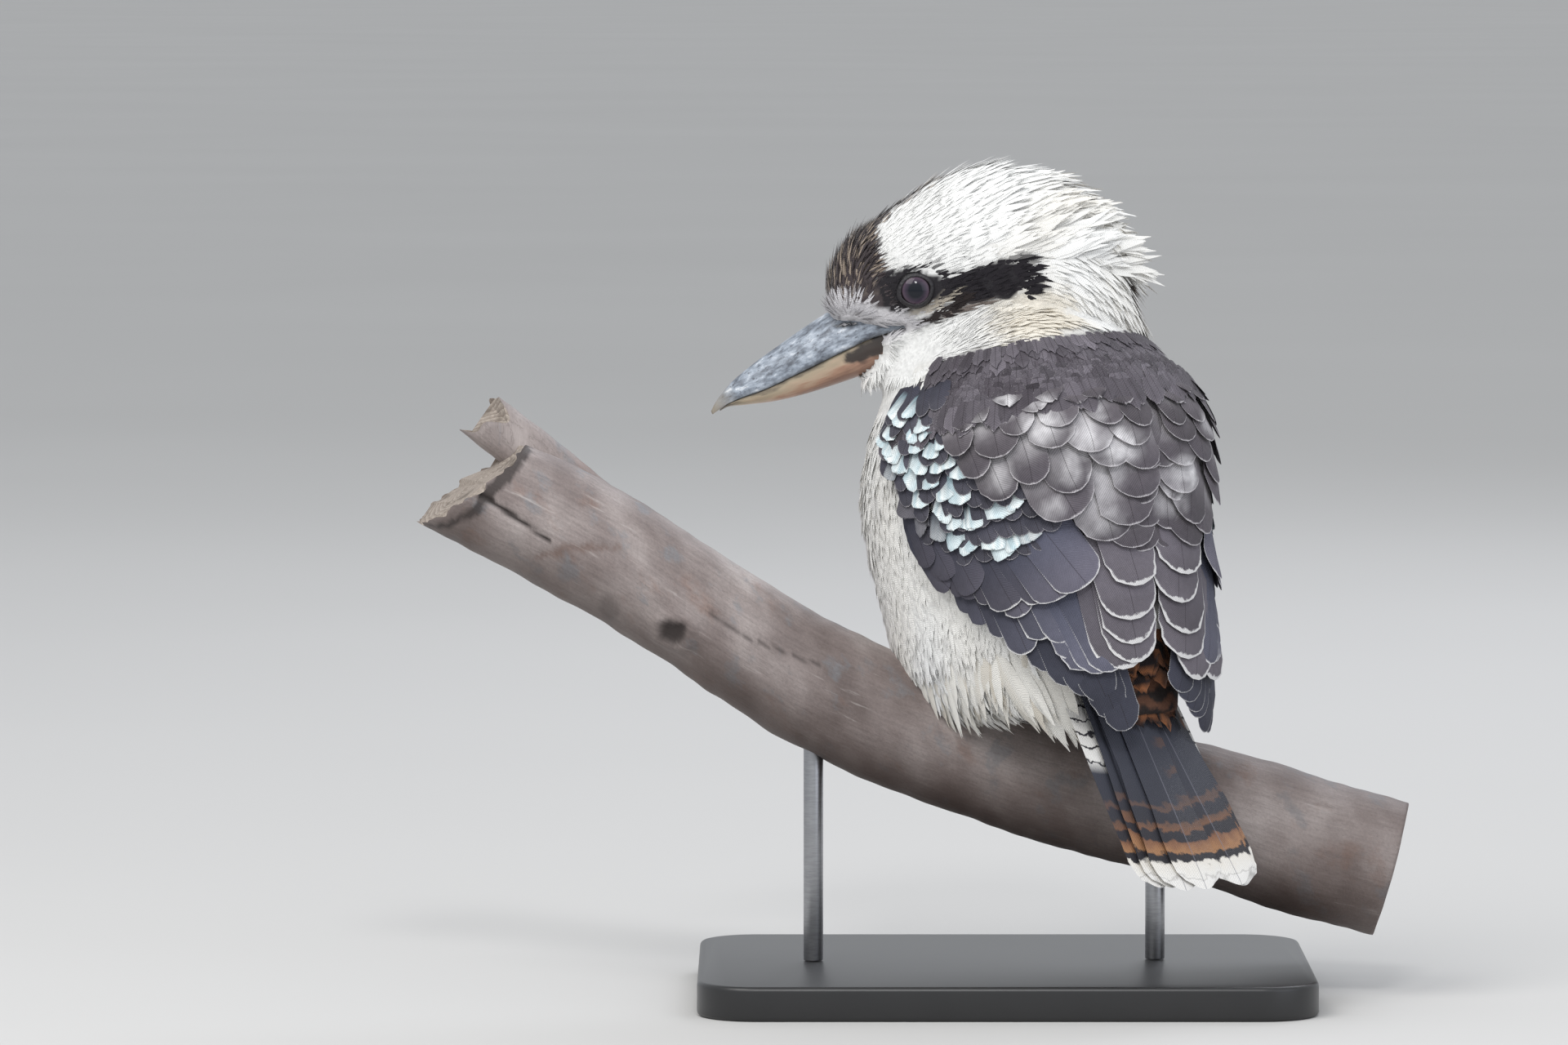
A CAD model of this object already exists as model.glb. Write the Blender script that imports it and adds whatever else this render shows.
"""Looks of a life-size laughing kookaburra on a cut branch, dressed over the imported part.

Sizes are millimetres until a mesh is written. X runs along the branch, Y points away from the
viewer and Z is up, with the origin at the centre of the base's underside, as in the part.
"""

import logging
import math
from dataclasses import dataclass
from enum import Enum
from typing import Any

import bmesh
import bpy
import numpy as np
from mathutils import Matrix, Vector

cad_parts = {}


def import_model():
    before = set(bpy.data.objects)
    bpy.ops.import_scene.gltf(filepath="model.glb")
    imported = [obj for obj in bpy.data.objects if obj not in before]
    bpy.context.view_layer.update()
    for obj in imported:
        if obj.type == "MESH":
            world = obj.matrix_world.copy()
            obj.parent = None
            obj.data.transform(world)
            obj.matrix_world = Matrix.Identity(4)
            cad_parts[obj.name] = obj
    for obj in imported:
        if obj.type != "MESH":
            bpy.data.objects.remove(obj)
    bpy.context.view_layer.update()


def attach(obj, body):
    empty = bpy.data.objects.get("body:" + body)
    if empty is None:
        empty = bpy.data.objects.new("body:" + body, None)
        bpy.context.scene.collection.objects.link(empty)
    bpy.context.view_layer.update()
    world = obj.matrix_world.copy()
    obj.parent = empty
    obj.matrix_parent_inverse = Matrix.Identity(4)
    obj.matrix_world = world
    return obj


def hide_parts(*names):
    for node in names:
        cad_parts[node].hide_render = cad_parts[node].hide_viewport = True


LOG = logging.getLogger("kookaburra")
MM = 0.001
BODY = "root"
SEED = 20250
Array = np.ndarray


class Side(Enum):
    """A side of the bird, with the sign that its angles and offsets take."""

    LEFT = 1
    RIGHT = -1


def linear(colour: str) -> tuple[float, float, float, float]:
    """Turns an sRGB hex colour to linear.

    Args:
        colour: Six hex digits, such as "f2f0ea".

    Returns:
        Red, green, blue and an alpha of 1.
    """
    parts = [int(colour[i : i + 2], 16) / 255 for i in (0, 2, 4)]
    r, g, b = (c / 12.92 if c <= 0.04045 else ((c + 0.055) / 1.055) ** 2.4 for c in parts)
    return (r, g, b, 1.0)


def tone(colour: str) -> Array:
    """A linear colour as an array of three numbers."""
    return np.array(linear(colour)[:3])


def ease(low: float, high: float, value: Array) -> Array:
    """Rises smoothly from 0 at low to 1 at high; low may be the larger."""
    t = np.clip((value - low) / (high - low), 0, 1)
    return t * t * (3 - 2 * t)


def blend(a: Array, b: Array, share: Array) -> Array:
    """Mixes two arrays of colours or points by a share for each row."""
    share = np.asarray(share)[..., None]
    return a * (1 - share) + b * share


def unit(v: Array) -> Array:
    """Scales vectors to length 1."""
    return v / np.maximum(np.linalg.norm(v, axis=-1, keepdims=True), 1e-9)


def flattened(way: Array, normal: Array) -> Array:
    """Turns directions into the plane square to the normals."""
    return unit(way - (way * normal).sum(-1, keepdims=True) * normal)


def read(rows: Array, place: Array, column: int) -> Array:
    """Reads a table of [place, value...] rows by a smooth curve through them.

    Args:
        rows: The table.
        place: Where to read it.
        column: Which value to read.

    Returns:
        The value at each place, held at the ends.
    """
    x, y = rows[:, 0], rows[:, column]
    k = np.arange(len(x))
    before, after = np.maximum(k - 1, 0), np.minimum(k + 1, len(x) - 1)
    slope = (y[after] - y[before]) / (x[after] - x[before])
    p = np.clip(place, x[0], x[-1])
    i = np.clip(np.searchsorted(x, p, side="right") - 1, 0, len(x) - 2)
    width = x[i + 1] - x[i]
    t = (p - x[i]) / width
    swing = width * (slope[i] * t * (1 - t) ** 2 - slope[i + 1] * t * t * (1 - t))
    return y[i] + (y[i + 1] - y[i]) * t * t * (3 - 2 * t) + swing


def oval(angle: Array, right: Array, top: Array, power: float) -> tuple[Array, Array]:
    """A point on an oval whose corners are filled out by the power."""
    c, s = np.cos(angle), np.sin(angle)
    side = right * np.sign(s) * np.abs(s) ** (2 / power)
    return side, top * np.sign(c) * np.abs(c) ** (2 / power)


def waves(points: Array, size: float, seed: int) -> Array:
    """Smooth noise from a few crossing sine waves.

    Args:
        points: Places in millimetres.
        size: The typical size of a patch in millimetres.
        seed: Which noise.

    Returns:
        About -1 to 1 at each point.
    """
    draw = np.random.default_rng(seed)
    total = np.zeros(points.shape[:-1])
    for _ in range(7):
        way = unit(draw.normal(size=3)) * draw.uniform(0.6, 1.5) * math.pi / size
        total = total + np.sin(points @ way + draw.uniform(0, 6.3))
    return total / 3.2


def deg(value: float) -> float:
    """Degrees to radians."""
    return math.radians(value)


BODY_YAW, BODY_PITCH, TAIL_PITCH, BILL_DROP = deg(45), deg(76), deg(57), deg(24)
HEADING = np.array([-math.sin(BODY_YAW), math.cos(BODY_YAW), 0])
RIGHT = np.array([math.cos(BODY_YAW), math.sin(BODY_YAW), 0])
UP = np.array([0.0, 0.0, 1.0])
SPINE = HEADING * math.cos(BODY_PITCH) + UP * math.sin(BODY_PITCH)
DORSAL = np.cross(RIGHT, SPINE)
TAIL_WAY = -HEADING * math.cos(TAIL_PITCH) - UP * math.sin(TAIL_PITCH)
TAIL_UP = np.cross(TAIL_WAY, RIGHT)
HEAD_FRONT = np.array([-math.cos(BILL_DROP), 0, -math.sin(BILL_DROP)])
HEAD_UP = np.array([-math.sin(BILL_DROP), 0, math.cos(BILL_DROP)])
HEAD_LEFT = np.array([0.0, -1.0, 0.0])
BODY_FOOT = np.array([28.7, -23.7, 118])
TAIL_ROOT = np.array([23.8, -14.5, 187])
HEAD_CENTRE = np.array([-11.8, 2, 295.3])

TORSO = np.array(
    [
        [3, 22, 14, 34],
        [6, 35, 26, 54],
        [12, 45, 38, 67],
        [20, 50, 46, 74],
        [33, 54, 54, 78],
        [60, 57, 59, 79],
        [86, 60, 63, 79],
        [102, 61, 65, 76],
        [116, 61, 64, 69],
        [132, 58, 60, 59],
        [147, 52, 52, 48],
        [158, 43, 43, 39],
        [166, 33, 34, 30],
    ],
    float,
)
WING_BED = np.array(
    [
        [-40, 44, 40, 50],
        [-15, 50, 48, 56],
        [5, 55, 54, 66],
        [22, 56, 57, 74],
        [43, 56, 59, 79],
        *TORSO[5:],
    ],
    float,
)
RUMP = np.array(
    [[12, 36, 30, 34], [40, 33, 28, 32], [60, 29, 21, 27], [74, 24, 14, 20], [84, 19, 9, 14]], float
)
TAIL_BED = np.array([[64, 20, 5, 13], [88, 21, 3.6, 10], [106, 19, 0.8, 7.4]], float)
HEAD = np.array(
    [
        [-55, -12, -42, 10],
        [-50, 6, -49, 19],
        [-42, 21, -51, 26.5],
        [-30, 34, -50, 32],
        [-14, 42, -46, 34.5],
        [4, 43, -40, 33],
        [20, 40.5, -35, 29.5],
        [34, 37, -31, 24.5],
        [45, 32, -29, 20.5],
        [53, 25, -26.5, 18],
        [59, 18, -23, 15],
        [62, 12, -20, 12.5],
    ],
    float,
)
NECK = np.array(
    [[230, 44, 42, -2], [243, 49, 43, -2], [254, 51, 41, -3], [266, 47, 36, 0], [280, 40, 30, 0]], float
)
BILL = np.array(
    [
        [28, 9, -8.6, 20.5, -17.5],
        [38, 11.6, -7.4, 17.2, -19.2],
        [50, 12.5, -6.2, 14.4, -19.5],
        [62, 10.2, -6.5, 13, -18.8],
        [72, 8.6, -7, 11.6, -17.9],
        [84, 6.2, -7.5, 9.6, -16.5],
        [96, 3.7, -8, 7.4, -14.2],
        [108, 0.4, -7.4, 4.8, -10.6],
        [114.5, -2.5, -7.5, 3.2, -8.6],
        [118.5, -4.9, -8.3, 1.9, -8.9],
        [121.5, -7.4, -8.9, 0.8, -9.2],
    ]
)
BRANCH = np.array(
    [
        [-217.3, 209, 23.1],
        [-190, 195.5, 24.4],
        [-160, 179, 25.2],
        [-115, 150, 25.2],
        [-80, 128.6, 25.6],
        [-30, 106.5, 26],
        [27, 87.3, 26.6],
        [84, 73.9, 27.4],
        [127, 59.5, 29],
        [158, 51, 28.4],
    ]
)
WING_EDGE = np.array(
    [[28, 62], [44, 76], [58, 81], [74, 87], [92, 95], [110, 103], [124, 103], [134, 92], [142, 70]], float
)
WING_DEPTH = np.array(
    [[28, 0.6], [44, 2], [62, 3.4], [86, 4.6], [106, 5], [124, 3.4], [136, 1.8], [142, 0.8]]
)
EYE_FRONT, EYE_UP, EYE_LEFT, EYE_RADIUS, EYE_FLAT = 25.1, 5.0, 25.2, 7.6, 0.74
COAT_DEPTH = 2.0
PARTING_TOP, PARTING_STRAY = 140, 0.042


def parting(along: Array) -> Array:
    """The angle of the line where the folded wings meet, in radians from the middle of the back."""
    return np.arctan(PARTING_STRAY * (PARTING_TOP - along) / 60)


def on_body(rows: Array, along: Array, angle: Array, height: Array = 0.0) -> tuple[Array, Array]:
    """A point on the torso or on the bed of the wing feathers.

    Args:
        rows: TORSO or WING_BED.
        along: Distance up the spine.
        angle: Radians from the middle of the back, towards the bird's left.
        height: How far out from the surface.

    Returns:
        The points and the outward normals.
    """
    along, angle = np.broadcast_arrays(np.asarray(along, float), np.asarray(angle, float))

    def bare(a: Array, t: Array) -> Array:
        """The point at no height."""
        back = np.abs(np.arctan2(np.sin(t), np.cos(t))) <= math.pi / 2
        top = np.where(back, read(rows, a, 2), read(rows, a, 3))
        side, up = oval(t, read(rows, a, 1), top, 2.4)
        return BODY_FOOT + a[..., None] * SPINE + up[..., None] * DORSAL - side[..., None] * RIGHT

    rise = bare(along + 1, angle) - bare(along - 1, angle)
    round_ = bare(along, angle + 0.02) - bare(along, angle - 0.02)
    normal = unit(np.cross(rise, round_))
    return bare(along, angle) + normal * np.asarray(height)[..., None], normal


def body_place(points: Array) -> tuple[Array, Array]:
    """Distance up the spine, and degrees out from the parting towards the left, of points near the body."""
    q = points - BODY_FOOT
    along, side, up = q @ SPINE, -(q @ RIGHT), q @ DORSAL
    half = read(WING_BED, along, 1)
    top = np.where(up > 0, read(WING_BED, along, 2), read(WING_BED, along, 3))
    s = np.sign(side) * (np.abs(side) / half) ** 1.2
    c = np.sign(up) * (np.abs(up) / top) ** 1.2
    turn = np.arctan2(s, c) - parting(along)
    return along, np.degrees(np.arctan2(np.sin(turn), np.cos(turn)))


def head_place(points: Array) -> tuple[Array, Array, Array]:
    """Distances forward, up and left of the head's centre."""
    q = points - HEAD_CENTRE
    return q @ HEAD_FRONT, q @ HEAD_UP, q @ HEAD_LEFT


def head_point(front: Array, up: Array, left: Array) -> Array:
    """A point from its distances forward, up and left of the head's centre."""
    front, up, left = np.broadcast_arrays(*(np.asarray(v, float) for v in (front, up, left)))
    return HEAD_CENTRE + front[..., None] * HEAD_FRONT + up[..., None] * HEAD_UP + left[..., None] * HEAD_LEFT


def tail_point(distance: Array, side: Array, up: Array) -> Array:
    """A point from its distance along the tail, to the right and above its middle."""
    distance, side, up = np.broadcast_arrays(*(np.asarray(v, float) for v in (distance, side, up)))
    return TAIL_ROOT + distance[..., None] * TAIL_WAY + side[..., None] * RIGHT + up[..., None] * TAIL_UP


def wing_depth(along: Array, degrees: Array) -> Array:
    """How thick the folded wing's flesh is, thinning towards its leading edge."""
    inside = np.clip((read(WING_EDGE, along, 1) - degrees) / 30, 0, 1)
    return read(WING_DEPTH, along, 1) * (0.45 + 0.55 * np.sqrt(inside))


def stroke(front: Array, up: Array, line: tuple[tuple[float, float, float], ...]) -> Array:
    """Signed distance to a tapered stroke drawn on the side of the head.

    Args:
        front: Distances forward of the head's centre.
        up: Distances up from it.
        line: The stroke's points, each with its half width.

    Returns:
        Millimetres from the stroke's edge, negative inside.
    """
    best = np.full(np.shape(front), 1e3)
    for (f0, u0, r0), (f1, u1, r1) in zip(line, line[1:]):
        df, du = f1 - f0, u1 - u0
        t = np.clip(((front - f0) * df + (up - u0) * du) / (df * df + du * du), 0, 1)
        gap = np.hypot(front - f0 - df * t, up - u0 - du * t) - (r0 + (r1 - r0) * t)
        best = np.minimum(best, gap)
    return best


EYE_STRIPE = (
    (41, 9.5, 8),
    (33, 6.8, 9),
    (26, 5.6, 8.2),
    (18, 1.0, 6),
    (9, -1.7, 6.6),
    (0, -3.0, 7),
    (-9.5, -5.2, 8.4),
)
EAR_BROWN = ((20, -8.4, 1.6), (12, -8.6, 2.3), (4, -8.4, 2.0))
GAPE_STROKE = ((42, -6.6, 0.9), (33, -7.7, 1.3), (24.3, -8.4, 1.8), (18.8, -7, 2.3), (13, -5, 2.4))
BUFF_STROKE = ((31, -3.2, 1.1), (24, -3.9, 1.1), (19.7, -2.9, 0.8), (15.5, -1.4, 0.7), (11.6, 0.6, 0.4))
NAPE_PATCH = ((-54, -14, 4), (-54, -26, 5))
UPPER_WINDOW = ((68, 3, 8.5), (56, -0.5, 4.6), (46, -4.2, 2.6), (36, -7.4, 1.1))
LOWER_WINDOW = ((68, -13, 8.5), (56, -12.6, 5.4), (49.5, -11.2, 3.2))
MOUTH_WINDOW = ((60, -7, 3.4), (46, -7.6, 1.8))
BILL_STAIN = ((63, -10.4, 1.4), (54, -10.2, 3.6), (44, -9.8, 3.8))
LORES_TOP = np.array([[28, -4.5], [31, -2.5], [36, 0.2], [42.5, 5.9], [49.5, 10.8], [60, 15.6]], float)
BROW_TOP = np.array(
    [
        [-45, 15], [-30, 32.8], [-14, 40.8], [4, 41.4], [10, 39.9], [20.4, 37.2], [30, 34], [36, 28],
        [37.8, 18.4], [39, 4]
    ],
    float,
)
NOSTRIL_FRONT, NOSTRIL_UP = 56.0, 4.0


def horn_gap(front: Array, up: Array) -> Array:
    """Signed distance to the window between face and chin where the bill's bare horn shows."""
    gaps = [stroke(front, up, line) for line in (UPPER_WINDOW, LOWER_WINDOW, MOUTH_WINDOW)]
    return np.minimum(np.minimum(gaps[0], gaps[1]), gaps[2])


def horn_left(front: Array, up: Array) -> Array:
    """How far out to the side the bill's surface is."""
    culmen, mouth, half, gonys = (read(BILL, front, k) for k in (1, 2, 3, 4))
    reach = np.where(up > mouth, culmen - mouth, mouth - gonys)
    share = np.clip(np.abs(up - mouth) / reach, 0, 1)
    return np.where(up > mouth, half, half * 0.9) * (1 - share**1.85) ** (1 / 1.85)


class Markings:
    """The bird's colours by place, the same for its skin and its coat."""

    white = tone("f6f6f4")
    cream = tone("e4dac6")
    buff = tone("cdb28a")
    grey = tone("a9a7a8")
    forehead = tone("463e40")
    streak = tone("a8998a")
    stripe = tone("221f24")
    brown = tone("5a4438")
    gape = tone("2a2322")
    bristle = tone("cfcdd0")
    grey_buff = tone("b3aa9c")
    grey_white = tone("c9c8c8")
    mantle = tone("4c474d")
    mantle_pale = tone("706b72")
    rufous = tone("6e4a38")
    bar = tone("29211f")

    def __init__(self) -> None:
        """Seeds the draws that break up the edges."""
        self.draw = np.random.default_rng(SEED + 1)

    def hood(self, points: Array, loose: float) -> Array:
        """Colours of the head and neck.

        Args:
            points: Places on them.
            loose: How far, in millimetres, an edge wanders from tuft to tuft.

        Returns:
            Linear colours.
        """
        front, up, left = head_place(points)
        stray = self.draw.normal(size=front.shape) * loose
        streaked = self.draw.random(front.shape)
        warm = ease(14, -30, front + up * 0.9) * (0.5 + 0.5 * waves(points, 16, 3))
        colour = blend(self.white, self.cream, np.clip(warm, 0, 1) * 0.45)
        under_ear = ease(9, 0, stroke(front, up, ((4, -19, 4), (-18, -22, 6))) + stray)
        colour = blend(colour, self.cream, under_ear * 0.5)
        cheek = ease(36, 20, front) * ease(-8, -12, up) * ease(0, 14, front)
        colour = blend(colour, self.grey_white, cheek * (streaked > 0.55) * 0.5)
        colour = blend(colour, self.brown, ease(0.9, -0.7, stroke(front, up, EAR_BROWN) + stray) * 0.85)
        colour = blend(colour, self.stripe, ease(0.8, -0.8, stroke(front, up, EYE_STRIPE) + stray))
        brow = ease(-0.6, 0.8, up - read(BROW_TOP, front, 1) + stray * 0.8)
        pale = np.where(front > 12, 0.24, 0.5)
        brown = blend(self.forehead, self.streak, (streaked < pale) * ease(6, 22, up) * 0.9)
        colour = blend(colour, brown, brow)
        gape = stroke(front, up, GAPE_STROKE) + stray * 0.4
        colour = blend(colour, self.gape, ease(0.6, -0.6, gape))
        streak = stroke(front, up, BUFF_STROKE) + stray * 0.3
        colour = blend(colour, self.grey_buff, ease(0.7, -0.5, streak) * 0.9)
        nape = ease(1, -1, stroke(front, up, NAPE_PATCH) + stray) * (np.abs(left) < 9)
        colour = blend(colour, self.brown, nape * 0.8)
        lores = ease(29, 32, front) * ease(0.4, -1.2, up - read(LORES_TOP, front, 1) + stray * 0.6)
        lores = lores * ease(-9, -6.5, up + 0.05 * front)
        bristle = blend(self.bristle, self.forehead, (streaked < 0.14) * ease(44, 50, front) * 0.6)
        return blend(colour, bristle, lores)

    def body(self, points: Array, loose: float) -> Array:
        """Colours of the torso: a dark mantle, and pale underparts with faint grey marks."""
        along, degrees = body_place(points)
        stray = self.draw.normal(size=along.shape) * loose
        width = 88 + np.clip(144 - along, 0, 11) * 1.4
        out = np.abs(degrees)
        mantle = (
            ease(1.2, -1.2, out - width + stray)
            * ease(148.5, 146, along + stray)
            * ease(104, 112, along)
        )
        under_wing = ease(1, -3, out - read(WING_EDGE, along, 1) + 7) * ease(30, 40, along) * (along < 142)
        mantle = np.maximum(mantle, under_wing)
        pale = blend(self.white * 0.96, self.cream, 0.1 + 0.12 * waves(points, 24, 5))
        marks = ease(0.35, 0.9, waves(points, 3.4, 7)) * ease(-0.5, 0.6, waves(points, 26, 8))
        pale = blend(pale, self.grey, marks * 0.38)
        dark = blend(self.mantle, self.mantle_pale, 0.3 + 0.35 * waves(points, 9, 9))
        return blend(pale, dark, np.clip(mantle, 0, 1))

    def rump(self, points: Array) -> Array:
        """Colours over and under the tail's root: rufous barred with black above, white below."""
        q = points - TAIL_ROOT
        distance, up = q @ TAIL_WAY, q @ TAIL_UP
        bars = np.sin(distance * 2 * math.pi / 7.5 + 1.6 * waves(points, 6, 11))
        above = blend(self.rufous, self.bar, ease(-0.3, 0.4, bars))
        return blend(self.white * 0.94, above, ease(-6, -2, up))

    def skin(self, points: Array, loose: float = 0.4) -> Array:
        """Colours of any place on the skin."""
        along, degrees = body_place(points)
        distance = (points - TAIL_ROOT) @ TAIL_WAY
        throat = (np.abs(degrees) > 98) & (points[..., 2] > 246)
        head_share = np.maximum(ease(146, 149, along), throat.astype(float))
        colour = blend(self.body(points, loose), self.hood(points, loose), head_share)
        on_rump = ease(50, 56, distance) * (along < 24)
        return blend(colour, self.rump(points), on_rump)


MARKINGS = Markings()


def add_node(
    tree: bpy.types.NodeTree,
    kind: str,
    settings: dict[str, Any] | None = None,
    inputs: dict[str | int, Any] | None = None,
) -> bpy.types.Node:
    """Adds a shader node with its settings and links.

    Args:
        tree: The material's node tree.
        kind: The node's type.
        settings: Attributes to set. "stops" sets a colour ramp's places and colours.
        inputs: Values or sockets for the node's inputs, by name or number.

    Returns:
        The node.
    """
    node = tree.nodes.new(kind)
    for name, value in (settings or {}).items():
        if name == "stops":
            while len(node.color_ramp.elements) < len(value):
                node.color_ramp.elements.new(0.5)
            for element, (place, colour) in zip(node.color_ramp.elements, value):
                element.position = place
                element.color = linear(colour)
        else:
            setattr(node, name, value)
    for key, value in (inputs or {}).items():
        if isinstance(value, bpy.types.NodeSocket):
            tree.links.new(value, node.inputs[key])
        else:
            node.inputs[key].default_value = value
    return node


def new_material(name: str) -> tuple[bpy.types.Material, bpy.types.NodeTree]:
    """A material with an empty node tree."""
    material = bpy.data.materials.new(name)
    material.use_nodes = True
    material.node_tree.nodes.clear()
    return material, material.node_tree


def finish_surface(
    tree: bpy.types.NodeTree,
    colour: Any,
    height: bpy.types.NodeSocket | None,
    depth: float,
    fixed: dict[str, Any],
) -> None:
    """Closes a material with a Principled shader.

    Args:
        tree: The material's node tree.
        colour: The base colour, a value or a socket.
        height: A socket from 0 to 1 for the bump, or None.
        depth: How far the bump stands, in millimetres.
        fixed: Values set on the shader's own sockets.
    """
    inputs: dict[str | int, Any] = {"Base Color": colour, **fixed}
    if height is not None:
        bump = add_node(
            tree, "ShaderNodeBump", None, {"Strength": 1.0, "Distance": depth * MM, "Height": height}
        )
        inputs["Normal"] = bump.outputs[0]
    shader = add_node(tree, "ShaderNodeBsdfPrincipled", None, inputs)
    add_node(tree, "ShaderNodeOutputMaterial", None, {"Surface": shader.outputs[0]})


def maths(
    tree: bpy.types.NodeTree, operation: str, *values: Any, clamp: bool = False
) -> bpy.types.NodeSocket:
    """A Math node's result, used where a pattern is worked out in the shader."""
    node = add_node(
        tree, "ShaderNodeMath", {"operation": operation, "use_clamp": clamp}, dict(enumerate(values))
    )
    return node.outputs[0]


def mixed(tree: bpy.types.NodeTree, share: Any, a: Any, b: Any, kind: str = "MIX") -> bpy.types.NodeSocket:
    """A colour between two, or blended by the named kind."""
    node = add_node(tree, "ShaderNodeMix", {"data_type": "RGBA", "blend_type": kind}, {0: share, 6: a, 7: b})
    return node.outputs[2]


def noise(
    tree: bpy.types.NodeTree, size: float, detail: float = 3.0, stretch: Any = None
) -> bpy.types.NodeSocket:
    """Noise of a real size in millimetres on Object coordinates, from 0 to 1."""
    where = stretch or add_node(tree, "ShaderNodeTexCoord").outputs["Object"]
    node = add_node(
        tree, "ShaderNodeTexNoise", None, {"Vector": where, "Scale": 1 / (size * MM), "Detail": detail}
    )
    return node.outputs[0]


@dataclass(frozen=True)
class FeatherFinish:
    """Dry grown feather: matt, its barbs in fine parallel lines, with worn pale fringes and a quill.

    The real barbs are 0.3 mm apart and drawn wider, so that they show.
    """

    name: str
    barb_pitch: float = 0.9
    barb_shade: float = 0.16
    barb_bump: float = 0.12
    roughness: float = 0.75
    sheen: float = 0.1
    fringe: str = "e6e4e2"
    quill: str = "2b272b"
    quill_width: float = 0.24
    fringe_share: float = 0.8
    gloss: float = 0.15
    wear: float = 0.3

    def make(self) -> bpy.types.Material:
        """Builds the material from the coat's own attributes."""
        material, tree = new_material(self.name)
        tint = add_node(tree, "ShaderNodeAttribute", {"attribute_name": "tint"}).outputs["Color"]
        values = {}
        for name in ("barb", "quill", "rim", "fringe"):
            values[name] = add_node(tree, "ShaderNodeAttribute", {"attribute_name": name}).outputs["Fac"]
        drift = noise(tree, 5.0, 2.0)
        phase = maths(
            tree, "MULTIPLY_ADD", values["barb"], 2 * math.pi / self.barb_pitch,
            maths(tree, "MULTIPLY", drift, 7.0)
        )
        wave = maths(tree, "MULTIPLY_ADD", maths(tree, "SINE", phase), 0.5, 0.5)
        shade = maths(tree, "MULTIPLY_ADD", wave, self.barb_shade, 1 - 0.7 * self.barb_shade)
        worn = maths(tree, "MULTIPLY_ADD", noise(tree, 2.6, 5.0), self.wear, 1 - self.wear / 2)
        colour = mixed(tree, 1.0, tint, maths(tree, "MULTIPLY", shade, worn), "MULTIPLY")
        line = maths(tree, "ABSOLUTE", values["quill"])
        on_quill = maths(tree, "SUBTRACT", 1.0, maths(tree, "DIVIDE", line, self.quill_width), clamp=True)
        has_quill = maths(tree, "GREATER_THAN", values["fringe"], -0.5)
        colour = mixed(
            tree, maths(tree, "MULTIPLY", maths(tree, "MULTIPLY", on_quill, 0.75), has_quill), colour,
            linear(self.quill)
        )
        ragged = maths(tree, "MULTIPLY_ADD", wave, 0.3, values["rim"])
        worn_rim = maths(tree, "MULTIPLY_ADD", noise(tree, 2.4, 3.0), 1.6, 0.1)
        inside = maths(tree, "SUBTRACT", maths(tree, "MULTIPLY", values["fringe"], worn_rim), ragged)
        pale = maths(tree, "MULTIPLY_ADD", inside, 1.7, 0.5, clamp=True)
        colour = mixed(tree, maths(tree, "MULTIPLY", pale, self.fringe_share), colour, linear(self.fringe))
        fixed = {"Roughness": self.roughness, "Sheen Weight": self.sheen, "Specular IOR Level": self.gloss}
        finish_surface(tree, colour, wave, self.barb_bump, fixed)
        return material


@dataclass(frozen=True)
class SkinFinish:
    """Dull skin with a short nap under the coat, which carries the coat's colours."""

    name: str = "feather_tract_skin"

    def make(self) -> bpy.types.Material:
        """Builds the material."""
        material, tree = new_material(self.name)
        tint = add_node(tree, "ShaderNodeAttribute", {"attribute_name": "tint"}).outputs["Color"]
        fine = noise(tree, 1.6, 4.0)
        colour = mixed(tree, 1.0, tint, maths(tree, "MULTIPLY_ADD", fine, 0.5, 0.55), "MULTIPLY")
        finish_surface(tree, colour, fine, 0.5, {"Roughness": 0.9})
        return material


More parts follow.
